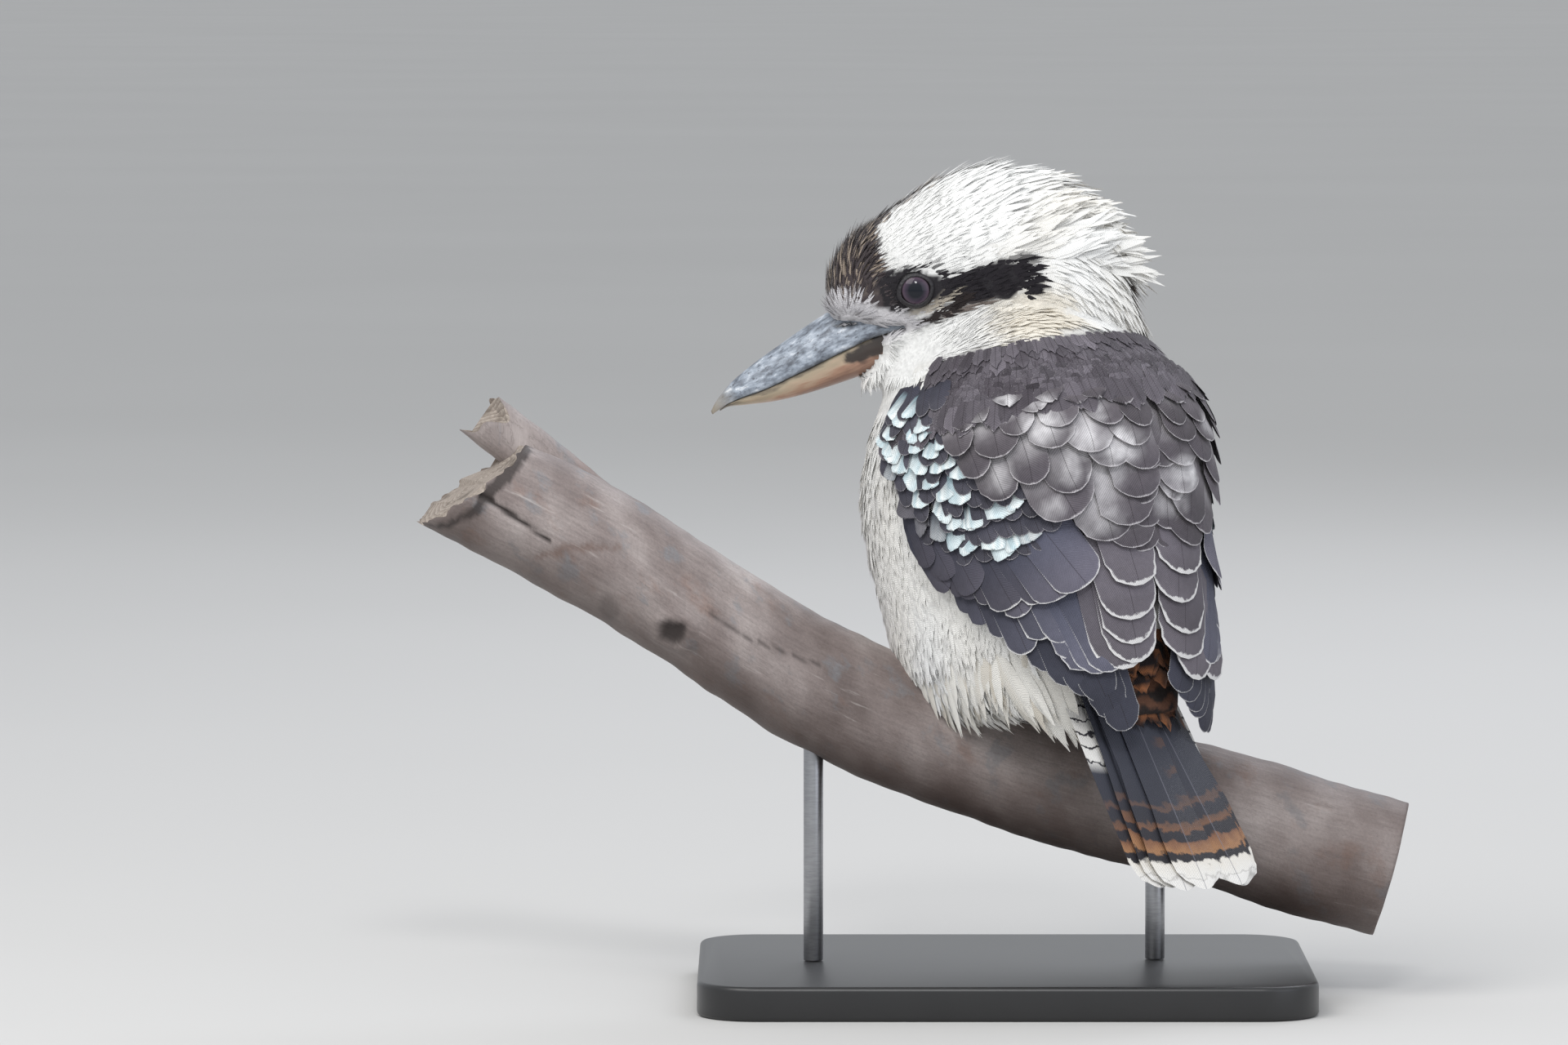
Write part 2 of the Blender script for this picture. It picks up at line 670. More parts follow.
@dataclass(frozen=True)
class UpperHornFinish:
    """Grown horn sheath, slate blue-grey, chalky and chipped with wear, with a paler worn tip."""

    name: str = "slate_horn"

    def make(self) -> bpy.types.Material:
        """Builds the material from the bill's own distances, kept in its "bill" attribute."""
        material, tree = new_material(self.name)
        place = add_node(tree, "ShaderNodeAttribute", {"attribute_name": "bill"}).outputs["Vector"]
        stretched = add_node(
            tree, "ShaderNodeMapping", None, {"Vector": place, "Scale": (0.45, 1.0, 1.0)}
        ).outputs[0]
        grain = add_node(
            tree, "ShaderNodeTexNoise", None,
            {"Vector": stretched, "Scale": 0.32, "Detail": 6.0, "Roughness": 0.62}
        ).outputs[0]
        chips = add_node(
            tree, "ShaderNodeTexNoise", None,
            {"Vector": stretched, "Scale": 0.75, "Detail": 5.0, "Roughness": 0.7}
        ).outputs[0]
        axes = add_node(tree, "ShaderNodeSeparateXYZ", None, {0: place})
        front, above = axes.outputs[0], axes.outputs[1]
        base = add_node(
            tree,
            "ShaderNodeValToRGB",
            {"stops": [(0.34, "4b505a"), (0.47, "7c848f"), (0.58, "9fa8b4"), (0.7, "cfd4da")]},
            {0: grain},
        ).outputs[0]
        dark = maths(tree, "MULTIPLY_ADD", chips, 9.0, -5.2, clamp=True)
        colour = mixed(tree, maths(tree, "MULTIPLY", dark, 0.85), base, linear("33333a"))
        white = maths(tree, "MULTIPLY_ADD", grain, 10.0, -6.2, clamp=True)
        lift = maths(tree, "MULTIPLY_ADD", front, 0.03, -2.2, clamp=True)
        colour = mixed(
            tree, maths(tree, "MULTIPLY", white, maths(tree, "ADD", lift, 0.35)), colour, linear("dfe3e8")
        )
        edge = maths(tree, "MULTIPLY_ADD", above, -0.6, 1.1, clamp=True)
        colour = mixed(tree, maths(tree, "MULTIPLY", edge, 0.5), colour, linear("40413f"))
        tip = maths(tree, "MULTIPLY_ADD", front, 0.09, -9.8, clamp=True)
        colour = mixed(tree, tip, colour, linear("8d8578"))
        stain = add_node(tree, "ShaderNodeAttribute", {"attribute_name": "stain"}).outputs["Fac"]
        colour = mixed(tree, stain, colour, linear("15161a"))
        finish_surface(
            tree,
            colour,
            maths(tree, "ADD", maths(tree, "MULTIPLY", grain, 0.6), maths(tree, "MULTIPLY", chips, 0.4)),
            0.35,
            {"Roughness": 0.42, "Coat Weight": 0.15, "Coat Roughness": 0.3},
        )
        return material


@dataclass(frozen=True)
class LowerHornFinish:
    """Grown horn sheath, cream turning pink-orange below, smooth with faint lengthwise stains."""

    name: str = "cream_horn"

    def make(self) -> bpy.types.Material:
        """Builds the material from the bill's own distances, kept in its "bill" attribute."""
        material, tree = new_material(self.name)
        place = add_node(tree, "ShaderNodeAttribute", {"attribute_name": "bill"}).outputs["Vector"]
        stretched = add_node(
            tree, "ShaderNodeMapping", None, {"Vector": place, "Scale": (0.18, 1.0, 1.0)}
        ).outputs[0]
        grain = add_node(
            tree, "ShaderNodeTexNoise", None, {"Vector": stretched, "Scale": 0.45, "Detail": 5.0}
        ).outputs[0]
        above = add_node(tree, "ShaderNodeSeparateXYZ", None, {0: place}).outputs[1]
        down = maths(tree, "MULTIPLY_ADD", above, -0.11, 0.0, clamp=True)
        wander = maths(tree, "ADD", down, maths(tree, "MULTIPLY_ADD", grain, 0.9, -0.45), clamp=True)
        base = add_node(
            tree,
            "ShaderNodeValToRGB",
            {
                "stops": [
                    (0.0, "6f6558"), (0.22, "b3a48c"), (0.5, "c3ab93"), (0.75, "b58f78"), (1.0, "8d6a58")
                ]
            },
            {0: wander},
        ).outputs[0]
        stain = add_node(tree, "ShaderNodeAttribute", {"attribute_name": "stain"}).outputs["Fac"]
        colour = mixed(tree, maths(tree, "MULTIPLY", stain, 0.95), base, linear("2a2425"))
        finish_surface(
            tree, colour, grain, 0.15, {"Roughness": 0.38, "Coat Weight": 0.2, "Coat Roughness": 0.25}
        )
        return material


@dataclass(frozen=True)
class EyeFinish:
    """A living eye: purple-brown iris round a black pupil under a wet, clear cornea."""

    name: str
    centre: tuple[float, float, float]
    pupil: float = 3.0
    iris: float = 5.6

    def make(self) -> bpy.types.Material:
        """Builds the material, drawn in rings round the eye's own axis."""
        material, tree = new_material(self.name)
        where = add_node(tree, "ShaderNodeTexCoord").outputs["Object"]
        shift = tuple(-c * MM for c in self.centre)
        local = add_node(tree, "ShaderNodeMapping", None, {"Vector": where, "Location": shift}).outputs[0]
        flat = add_node(
            tree, "ShaderNodeVectorMath", {"operation": "MULTIPLY"}, {0: local, 1: (1000.0, 0.0, 1000.0)}
        ).outputs[0]
        radius = add_node(tree, "ShaderNodeVectorMath", {"operation": "LENGTH"}, {0: flat}).outputs["Value"]
        share = maths(tree, "DIVIDE", radius, 8.0)
        streaks = add_node(
            tree, "ShaderNodeTexNoise", None, {"Vector": flat, "Scale": 1.6, "Detail": 3.0}
        ).outputs[0]
        share = maths(tree, "MULTIPLY_ADD", maths(tree, "SUBTRACT", streaks, 0.5), 0.05, share)
        p, i = self.pupil / 8, self.iris / 8
        ring = add_node(
            tree,
            "ShaderNodeValToRGB",
            {
                "stops": [
                    (p - 0.03, "10141d"),
                    (p + 0.02, "22202a"),
                    ((p + i) / 2, "3b313f"),
                    (i - 0.06, "4c3d4b"),
                    (i, "1e171c"),
                    (i + 0.06, "0c0b0d"),
                ]
            },
            {0: share},
        ).outputs[0]
        finish_surface(
            tree,
            ring,
            None,
            0,
            {
                "Roughness": 0.5, "Specular IOR Level": 0.08, "Coat Weight": 0.5, "Coat Roughness": 0.03,
                "Coat IOR": 1.5
            },
        )
        return material


@dataclass(frozen=True)
class LidFinish:
    """Bare black lid skin, slightly moist, finely beaded."""

    name: str = "black_lid_skin"

    def make(self) -> bpy.types.Material:
        """Builds the material."""
        material, tree = new_material(self.name)
        beads = add_node(
            tree,
            "ShaderNodeTexVoronoi",
            None,
            {"Vector": add_node(tree, "ShaderNodeTexCoord").outputs["Object"], "Scale": 1 / (0.9 * MM)},
        ).outputs[0]
        colour = mixed(tree, beads, linear("29262a"), linear("151316"))
        finish_surface(tree, colour, beads, 0.15, {"Roughness": 0.5})
        return material


@dataclass(frozen=True)
class ScaleFinish:
    """Horny scales on toes and shank, grey-green, dry, in overlapping rings."""

    name: str = "grey_green_scales"
    ring_pitch: float = 2.2

    def make(self) -> bpy.types.Material:
        """Builds the material, with rings by the limb's own "reach" attribute."""
        material, tree = new_material(self.name)
        reach = add_node(tree, "ShaderNodeAttribute", {"attribute_name": "reach"}).outputs["Fac"]
        ring = maths(tree, "FRACT", maths(tree, "DIVIDE", reach, self.ring_pitch))
        worn = noise(tree, 2.0, 3.0)
        base = mixed(tree, worn, linear("77796a"), linear("a3a18c"))
        gap = maths(tree, "MULTIPLY_ADD", ring, -7.0, 1.0, clamp=True)
        colour = mixed(tree, maths(tree, "MULTIPLY", gap, 0.7), base, linear("3c3a33"))
        finish_surface(tree, colour, ring, 0.35, {"Roughness": 0.6})
        return material


@dataclass(frozen=True)
class ClawFinish:
    """Horn claws, near black, polished by wear."""

    name: str = "black_claw_horn"

    def make(self) -> bpy.types.Material:
        """Builds the material."""
        material, tree = new_material(self.name)
        streak = noise(tree, 2.5, 3.0)
        colour = mixed(tree, streak, linear("1e1b1a"), linear("4a4440"))
        finish_surface(tree, colour, streak, 0.05, {"Roughness": 0.35})
        return material


@dataclass(frozen=True)
class BarkFinish:
    """Smooth gum-tree bark, shed in patches: grey-pink, mottled with blue-grey and rust, darker below."""

    name: str = "smooth_gum_bark"

    def make(self) -> bpy.types.Material:
        """Builds the material from the branch's own "bark" distances: along, around and how far below."""
        material, tree = new_material(self.name)
        place = add_node(tree, "ShaderNodeAttribute", {"attribute_name": "bark"}).outputs["Vector"]
        drawn = {}
        below = add_node(tree, "ShaderNodeAttribute", {"attribute_name": "below"}).outputs["Fac"]
        wound = add_node(tree, "ShaderNodeAttribute", {"attribute_name": "wound"}).outputs["Fac"]
        grain_place = add_node(
            tree, "ShaderNodeMapping", None, {"Vector": place, "Scale": (0.1, 1.0, 1.0)}
        ).outputs[0]
        scar = add_node(tree, "ShaderNodeAttribute", {"attribute_name": "scar"}).outputs["Fac"]
        for name, where, size, detail, rough in (
            ("cloud", place, 44.0, 3.0, 0.5),
            ("patch", place, 19.0, 6.0, 0.62),
            ("rust", place, 26.0, 5.0, 0.6),
            ("grain", grain_place, 1.7, 4.0, 0.6),
            ("speck", place, 1.3, 4.0, 0.7),
            ("scuff", grain_place, 5.0, 6.0, 0.7),
        ):
            offset = {"cloud": 12.0, "patch": 31.0, "rust": 77.0}.get(name, 5.0)
            moved = add_node(
                tree, "ShaderNodeMapping", None, {"Vector": where, "Location": (offset, offset, 0)}
            ).outputs[0]
            drawn[name] = add_node(
                tree,
                "ShaderNodeTexNoise",
                None,
                {"Vector": moved, "Scale": 1 / size, "Detail": detail, "Roughness": rough},
            ).outputs[0]
        base = add_node(
            tree,
            "ShaderNodeValToRGB",
            {"stops": [(0.34, "6a5f5c"), (0.46, "7f7471"), (0.56, "958b88"), (0.68, "aaa19e")]},
            {0: drawn["cloud"]},
        ).outputs[0]
        blue = maths(tree, "MULTIPLY_ADD", drawn["patch"], 14.0, -7.9, clamp=True)
        colour = mixed(tree, maths(tree, "MULTIPLY", blue, 0.5), base, linear("7a8086"))
        rust = maths(tree, "MULTIPLY_ADD", drawn["rust"], 9.0, -5.2, clamp=True)
        colour = mixed(tree, maths(tree, "MULTIPLY", rust, 0.4), colour, linear("7d5c4b"))
        grain = maths(tree, "MULTIPLY_ADD", drawn["grain"], 0.6, 0.7)
        speck = maths(tree, "MULTIPLY_ADD", drawn["speck"], 0.7, 0.65)
        colour = mixed(tree, 1.0, colour, maths(tree, "MULTIPLY", grain, speck), "MULTIPLY")
        scuff = maths(tree, "MULTIPLY_ADD", drawn["scuff"], 12.0, -7.3, clamp=True)
        colour = mixed(tree, maths(tree, "MULTIPLY", scuff, 0.4), colour, linear("cfc8c4"))
        hairline = maths(tree, "ABSOLUTE", maths(tree, "SUBTRACT", drawn["scuff"], 0.47))
        hairline = maths(tree, "SUBTRACT", 1.0, maths(tree, "MULTIPLY", hairline, 90.0), clamp=True)
        colour = mixed(tree, maths(tree, "MULTIPLY", hairline, 0.35), colour, linear("4a403d"))
        shadow = maths(
            tree, "ADD", below, maths(tree, "MULTIPLY_ADD", drawn["patch"], 0.5, -0.25), clamp=True
        )
        colour = mixed(tree, maths(tree, "MULTIPLY", shadow, 0.75), colour, linear("4b3d37"))
        colour = mixed(tree, maths(tree, "MULTIPLY", scar, 0.45), colour, linear("5e4234"))
        colour = mixed(tree, wound, colour, linear("2a2220"))
        height = maths(
            tree, "ADD", maths(tree, "MULTIPLY", drawn["grain"], 0.4),
            maths(tree, "MULTIPLY", drawn["speck"], 0.4)
        )
        finish_surface(tree, colour, height, 0.4, {"Roughness": 0.58, "Specular IOR Level": 0.4})
        return material


@dataclass(frozen=True)
class CutWoodFinish:
    """Sawn end grain, weathered pale grey-brown, with growth rings and drying cracks."""

    name: str = "weathered_end_grain"
    ring_pitch: float = 2.4
    centre: tuple[float, float, float] = (-217.0, -1.4, 209.0)

    def make(self) -> bpy.types.Material:
        """Builds the material."""
        material, tree = new_material(self.name)
        where = add_node(tree, "ShaderNodeTexCoord").outputs["Object"]
        shift = tuple(-c * MM for c in self.centre)
        local = add_node(tree, "ShaderNodeMapping", None, {"Vector": where, "Location": shift}).outputs[0]
        radius = add_node(tree, "ShaderNodeVectorMath", {"operation": "LENGTH"}, {0: local}).outputs["Value"]
        drift = noise(tree, 12.0, 3.0)
        turns = maths(
            tree, "MULTIPLY_ADD", radius, 1 / (self.ring_pitch * MM), maths(tree, "MULTIPLY", drift, 2.0)
        )
        ring = maths(tree, "FRACT", turns)
        fine = noise(tree, 1.2, 4.0)
        base = mixed(tree, ring, linear("8b7f76"), linear("b3a89d"))
        colour = mixed(tree, 1.0, base, maths(tree, "MULTIPLY_ADD", fine, 0.9, 0.5), "MULTIPLY")
        stain = maths(tree, "MULTIPLY_ADD", noise(tree, 9.0, 4.0), 7.0, -3.6, clamp=True)
        colour = mixed(tree, maths(tree, "MULTIPLY", stain, 0.6), colour, linear("4c4238"))
        finish_surface(tree, colour, fine, 0.6, {"Roughness": 0.9})
        return material


@dataclass(frozen=True)
class PaintFinish:
    """Wooden base sprayed in black satin paint: even, with a fine orange peel and slightly rubbed rim."""

    name: str = "black_satin_paint"

    def make(self) -> bpy.types.Material:
        """Builds the material."""
        material, tree = new_material(self.name)
        peel = noise(tree, 1.4, 2.0)
        rub = noise(tree, 22.0, 4.0)
        colour = mixed(tree, maths(tree, "MULTIPLY", rub, 0.5), linear("1b1b1c"), linear("2c2c2d"))
        finish_surface(
            tree, colour, peel, 0.02, {"Roughness": 0.38, "Coat Weight": 0.2, "Coat Roughness": 0.3}
        )
        return material


@dataclass(frozen=True)
class SteelFinish:
    """Steel rod, brushed round its length, so that it has fine rings and a soft gleam."""

    name: str = "brushed_steel"

    def make(self) -> bpy.types.Material:
        """Builds the material."""
        material, tree = new_material(self.name)
        where = add_node(tree, "ShaderNodeTexCoord").outputs["Object"]
        stretch = {"Vector": where, "Scale": (0.15, 0.15, 1.0)}
        turned = add_node(tree, "ShaderNodeMapping", None, stretch).outputs[0]
        lines = noise(tree, 0.6, 3.0, turned)
        colour = mixed(tree, lines, linear("8b8c8f"), linear("b4b5b8"))
        finish_surface(tree, colour, lines, 0.02, {"Metallic": 1.0, "Roughness": 0.34})
        return material


@dataclass(frozen=True)
class FloorFinish:
    """Plain pale studio floor, matt."""

    name: str = "pale_floor"

    def make(self) -> bpy.types.Material:
        """Builds the material."""
        material, tree = new_material(self.name)
        soft = noise(tree, 900.0, 2.0)
        colour = mixed(tree, soft, linear("c9c8c6"), linear("cfcecc"))
        finish_surface(tree, colour, None, 0, {"Roughness": 0.9, "Specular IOR Level": 0.2})
        return material


def new_object(name: str, mesh: bpy.types.Mesh, material: bpy.types.Material) -> bpy.types.Object:
    """Links a mesh as an object at the origin, with one material."""
    mesh.materials.clear()
    mesh.materials.append(material)
    made = bpy.data.objects.new(name, mesh)
    bpy.context.scene.collection.objects.link(made)
    return made


def dress(piece: bpy.types.Object, slot: str, *nodes: str) -> bpy.types.Object:
    """Sets a piece to ride with the body, in its slot, in place of the named nodes."""
    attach(piece, BODY)
    if nodes:
        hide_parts(*nodes)
    LOG.info("%s: %d faces", piece.name, len(piece.data.polygons))
    return piece


def put(mesh: bpy.types.Mesh, name: str, kind: str, values: Array) -> None:
    """Writes a value, vector or colour for each vertex of a mesh.

    Args:
        mesh: The mesh.
        name: The attribute's name.
        kind: FLOAT, FLOAT_VECTOR or FLOAT_COLOR.
        values: One row for each vertex.
    """
    slot = mesh.attributes.new(name, kind, "POINT")
    key = {"FLOAT": "value", "FLOAT_VECTOR": "vector", "FLOAT_COLOR": "color"}[kind]
    if kind == "FLOAT_COLOR":
        values = np.concatenate([values, np.ones((len(values), 1))], axis=1)
    slot.data.foreach_set(key, np.ascontiguousarray(values, np.float32).ravel())


class Loft:
    """A closed form through rings of points, made by bmesh from circles that are bridged."""

    def __init__(self) -> None:
        """Starts an empty bmesh."""
        self.mesh = bmesh.new()
        self.rings: list[list[bmesh.types.BMEdge]] = []

    def ring(self, points: Array) -> None:
        """Adds one ring, whose points are millimetres."""
        made = bmesh.ops.create_circle(self.mesh, cap_ends=False, segments=len(points), radius=1.0)
        verts = made["verts"]
        for vert, point in zip(verts, points):
            vert.co = Vector(point * MM)
        self.rings.append(list({edge for vert in verts for edge in vert.link_edges}))

    def close(self) -> bmesh.types.BMesh:
        """Bridges the rings, caps both ends and turns the faces outwards."""
        for a, b in zip(self.rings, self.rings[1:]):
            bmesh.ops.bridge_loops(self.mesh, edges=a + b)
        for end in (self.rings[0], self.rings[-1]):
            bmesh.ops.holes_fill(self.mesh, edges=end, sides=0)
        bmesh.ops.recalc_face_normals(self.mesh, faces=self.mesh.faces)
        return self.mesh


def bmesh_to(name: str, shapes: list[bmesh.types.BMesh], smooth: bool = True) -> bpy.types.Mesh:
    """Joins bmesh shapes into one mesh and frees them."""
    whole = bmesh.new()
    for shape in shapes:
        part = bpy.data.meshes.new("part")
        shape.to_mesh(part)
        whole.from_mesh(part)
        bpy.data.meshes.remove(part)
        shape.free()
    for face in whole.faces:
        face.smooth = smooth
    mesh = bpy.data.meshes.new(name)
    whole.to_mesh(mesh)
    whole.free()
    return mesh


def verts_of(mesh: bpy.types.Mesh) -> Array:
    """A mesh's vertices in millimetres."""
    co = np.empty(len(mesh.vertices) * 3, np.float32)
    mesh.vertices.foreach_get("co", co)
    return co.reshape(-1, 3).astype(float) / MM


@dataclass
class Skin:
    """One skin for head, neck, torso and rump, inside the coat by its depth."""

    voxel: float = 1.7
    sides: int = 56
    smooth_steps: int = 5
    wing_inset: float = 1.4

    def torso(self) -> bmesh.types.BMesh:
        """The torso with the flesh of the folded wings on it."""
        loft = Loft()
        angle = np.linspace(0, 2 * math.pi, self.sides, endpoint=False)
        for along in (4, 8, 14, 22, 32, 44, 56, 70, 84, 98, 110, 120, 130, 138, 147, 156, 163):
            place = np.full(self.sides, float(along))
            degrees = np.degrees(np.arctan2(np.sin(angle - parting(place)), np.cos(angle - parting(place))))
            on_wing = ease(0, 8, read(WING_EDGE, place, 1) - np.abs(degrees)) * (28 < along < 142)
            height = np.maximum(wing_depth(place, np.abs(degrees)) - self.wing_inset, -COAT_DEPTH)
            height = -COAT_DEPTH + (height + COAT_DEPTH) * on_wing
            loft.ring(on_body(TORSO, place, angle, height)[0])
        return loft.close()

    def head(self) -> bmesh.types.BMesh:
        """The head inside its hood of feathers."""
        loft = Loft()
        angle = np.linspace(0, 2 * math.pi, self.sides, endpoint=False)
        for front in (-53, -50, -46, -41, -34, -26, -14, -2, 8, 18, 27, 35, 43, 49, 54, 58, 61):
            place = np.full(self.sides, float(front))
            top, bottom, half = (read(HEAD, place, k) for k in (1, 2, 3))
            near_bill = ease(62, 40, place)
            inset = COAT_DEPTH * (0.3 + 0.7 * near_bill)
            left, up = oval(angle, half - inset, (top - bottom) / 2 - inset, 2.25)
            loft.ring(head_point(place, (top + bottom) / 2 + up, left))
        return loft.close()

    def neck(self) -> bmesh.types.BMesh:
        """The neck inside the white hood."""
        loft = Loft()
        angle = np.linspace(0, 2 * math.pi, self.sides, endpoint=False)
        for height, along, across, x in NECK:
            dy, dx = oval(angle, across - COAT_DEPTH, along - COAT_DEPTH, 2.2)
            loft.ring(np.stack([x + dx, 1 + dy, np.full(self.sides, height)], axis=1))
        return loft.close()

    def rump(self, rows: Array, first: float, last: float, sink: float = 0.0) -> bmesh.types.BMesh:
        """The rump, or the tail's fleshy root, which lies lower by the sink.

        Args:
            rows: RUMP or TAIL_BED.
            first: Where it starts along the tail.
            last: Where it ends.
            sink: How far it is lowered under the tail feathers.

        Returns:
            The form.
        """
        loft = Loft()
        angle = np.linspace(0, 2 * math.pi, self.sides, endpoint=False)
        for distance in np.linspace(first, last, 7):
            place = np.full(self.sides, distance)
            top = np.where(np.cos(angle) > 0, read(rows, place, 2), read(rows, place, 3))
            inset = np.minimum(COAT_DEPTH, top * 0.5)
            side, up = oval(angle, read(rows, place, 1) - 1.6, top - inset, 2.2)
            loft.ring(tail_point(place, side, up - sink))
        return loft.close()

    @staticmethod
    def fit_bill(points: Array) -> Array:
        """Draws the face in beside the bill, and under its horn where that is bare.

        Args:
            points: The skin's vertices.

        Returns:
            The moved vertices.
        """
        front, up, left = head_place(points)
        horn = horn_left(front, up)
        out = np.abs(left)
        beside = np.minimum(out, read(BILL, front, 3) + 2.2)
        out = out + (beside - out) * ease(36, 46, front) * ease(14, 9, up) * ease(-18, -14, up)
        bare = ease(1.0, -0.4, horn_gap(front, up)) * ease(30, 36, front)
        out = out + (np.minimum(out, np.maximum(horn - 1.5, 0.4)) - out) * bare
        return points + HEAD_LEFT * ((out - np.abs(left)) * np.sign(left))[:, None]

    def build(self) -> bpy.types.Object:
        """Melts the forms into one surface and colours it."""
        forms = [self.torso(), self.head(), self.neck()]
        forms += [self.rump(RUMP, 12, 83), self.rump(TAIL_BED, 64, 100, 5.0)]
        raw = new_object("raw_skin", bmesh_to("raw_skin", forms), SkinFinish().make())
        melt = raw.modifiers.new("melt", "REMESH")
        melt.mode = "VOXEL"
        melt.voxel_size = self.voxel * MM
        melt.use_smooth_shade = True
        soften = raw.modifiers.new("soften", "SMOOTH")
        soften.factor = 0.5
        soften.iterations = self.smooth_steps
        graph = bpy.context.evaluated_depsgraph_get()
        mesh = bpy.data.meshes.new_from_object(raw.evaluated_get(graph))
        material = raw.data.materials[0]
        bpy.data.objects.remove(raw)
        mesh.name = "skin"
        moved = self.fit_bill(verts_of(mesh))
        mesh.vertices.foreach_set("co", (moved * MM).astype(np.float32).ravel())
        mesh.update()
        put(mesh, "tint", "FLOAT_COLOR", MARKINGS.skin(verts_of(mesh)))
        return dress(new_object("skin", mesh, material), "white_plumage", "head", "neck", "torso")


class SkinMap:
    """The skin as a ground to root feathers on."""

    def __init__(self, skin: bpy.types.Object) -> None:
        """Reads the skin's triangles and smooth normals."""
        mesh = skin.data
        mesh.calc_loop_triangles()
        corners = np.empty(len(mesh.loop_triangles) * 3, np.int32)
        mesh.loop_triangles.foreach_get("vertices", corners)
        self.corners = corners.reshape(-1, 3)
        self.points = verts_of(mesh)
        normals = np.empty(len(mesh.vertices) * 3, np.float32)
        mesh.vertices.foreach_get("normal", normals)
        self.normals = normals.reshape(-1, 3).astype(float)
        a, b, c = (self.points[self.corners[:, k]] for k in range(3))
        area = np.linalg.norm(np.cross(b - a, c - a), axis=1) / 2
        self.area = area.sum()
        self.share = np.cumsum(area) / self.area

    def scatter(self, spacing: float, keep: Any, seed: int) -> tuple[Array, Array]:
        """Picks roots about a spacing apart where keep says so.

        Args:
            spacing: Millimetres between roots.
            keep: A function from points to True or False for each.
            seed: The draw's seed.

        Returns:
            The roots and the skin's normals there.
        """
        draw = np.random.default_rng(seed)
        count = int(self.area / spacing**2 * 5)
        pick = np.searchsorted(self.share, draw.random(count))
        u, v = draw.random(count), draw.random(count)
        fold = u + v > 1
        u[fold], v[fold] = 1 - u[fold], 1 - v[fold]
        weights = np.stack([1 - u - v, u, v], axis=1)[:, :, None]
        corners = self.corners[pick]
        points = (self.points[corners] * weights).sum(1)
        normals = unit((self.normals[corners] * weights).sum(1))
        inside = keep(points)
        points, normals = points[inside], normals[inside]
        cell = np.floor(points / spacing).astype(np.int64)
        _, first = np.unique(cell @ np.array([1, 4096, 4096**2]), return_index=True)
        return points[first], normals[first]


@dataclass(frozen=True)
class VaneForm:
    """How one kind of feather is built.

    The outline is rows of share of length and share of half width. The camber lifts the middle,
    the round draws the edges back at the tip, and the notch parts the tip into points.
    """

    outline: tuple[tuple[float, float], ...]
    columns: int = 5
    camber: float = 0.1
    thickness: float = 0.22
    round: float = 0.0
    notch: float = 0.0
    curve_radius: float = 1e4

    @property
    def shares(self) -> Array:
        """Places of the rows along the feather."""
        return np.array([row[0] for row in self.outline])

    @property
    def widths(self) -> Array:
        """Half widths of the rows."""
        return np.array([row[1] for row in self.outline])


def rounded_tip(
    start: float, rows: int, base: float = 0.55, full: float = 0.4
) -> tuple[tuple[float, float], ...]:
    """An outline that widens to its full width and ends in a half round.

    Args:
        start: The share of length where the round starts.
        rows: Rows in the round.
        base: Half width at the root.
        full: Share of length where the full width is reached.

    Returns:
        Rows of share of length and share of half width.
    """
    rise = [(full * k / 2, base + (1 - base) * math.sin(math.pi / 4 * k)) for k in range(3)]
    turns = [math.pi / 2 * k / rows for k in range(rows)]
    round_ = [(start + (1 - start) * math.sin(a), math.cos(a)) for a in turns]
    return tuple(rise + round_ + [(1.0, 0.16)])


FACE_TUFT = VaneForm(((0, 0.6), (0.5, 1), (1, 0.15)), columns=3, camber=0.2, thickness=0.2)
DOWN_TUFT = VaneForm(((0, 0.45), (0.35, 0.95), (0.7, 0.75), (1, 0.1)), columns=3, camber=0.1, thickness=0.2)
BREAST_TUFT = VaneForm(
    ((0, 0.5), (0.4, 1), (0.75, 0.85), (1, 0.35)), columns=5, camber=0.12, thickness=0.2, notch=0.34
)
CREST_LOCK = VaneForm(
    ((0, 0.5), (0.25, 0.9), (0.5, 1), (0.75, 0.62), (1, 0.08)), columns=3, camber=0.09, thickness=0.2
)
SILK_LOCK = VaneForm(
    ((0, 0.5), (0.25, 0.9), (0.5, 1), (0.75, 0.78), (1, 0.2)), columns=5, camber=0.2, thickness=0.25,
    notch=0.22
)
MANTLE_FEATHER = VaneForm(
    ((0, 0.5), (0.35, 0.95), (0.65, 1), (0.88, 0.78), (1, 0.4)),
    columns=5,
    camber=0.06,
    thickness=0.15,
    round=0.22,
    notch=0.14,
    curve_radius=60,
)
BLUE_COVERT = VaneForm(
    rounded_tip(0.9, 3, 0.7, 0.3), columns=7, camber=0.012, thickness=0.13, notch=0.05, curve_radius=60
)
SOFT_COVERT = VaneForm(
    rounded_tip(0.66, 4, full=0.36), columns=7, camber=0.03, thickness=0.13, notch=0.07, curve_radius=60
)
COVERT = VaneForm(rounded_tip(0.68, 5), columns=7, camber=0.035, thickness=0.15, curve_radius=60)
TERTIAL = VaneForm(rounded_tip(0.76, 6), columns=9, camber=0.03, thickness=0.18, curve_radius=62)
FLIGHT = VaneForm(rounded_tip(0.86, 5), columns=7, camber=0.04, thickness=0.18, curve_radius=62)
TAIL_FEATHER = VaneForm(
    (
        (0, 0.75), (0.2, 0.8), (0.4, 0.86), (0.6, 0.92), (0.76, 0.97), (0.88, 1), (0.94, 0.95),
        (0.98, 0.78), (1, 0.46)
    ),
    columns=9,
    camber=0.03,
    thickness=0.25,
    round=0.1,
)


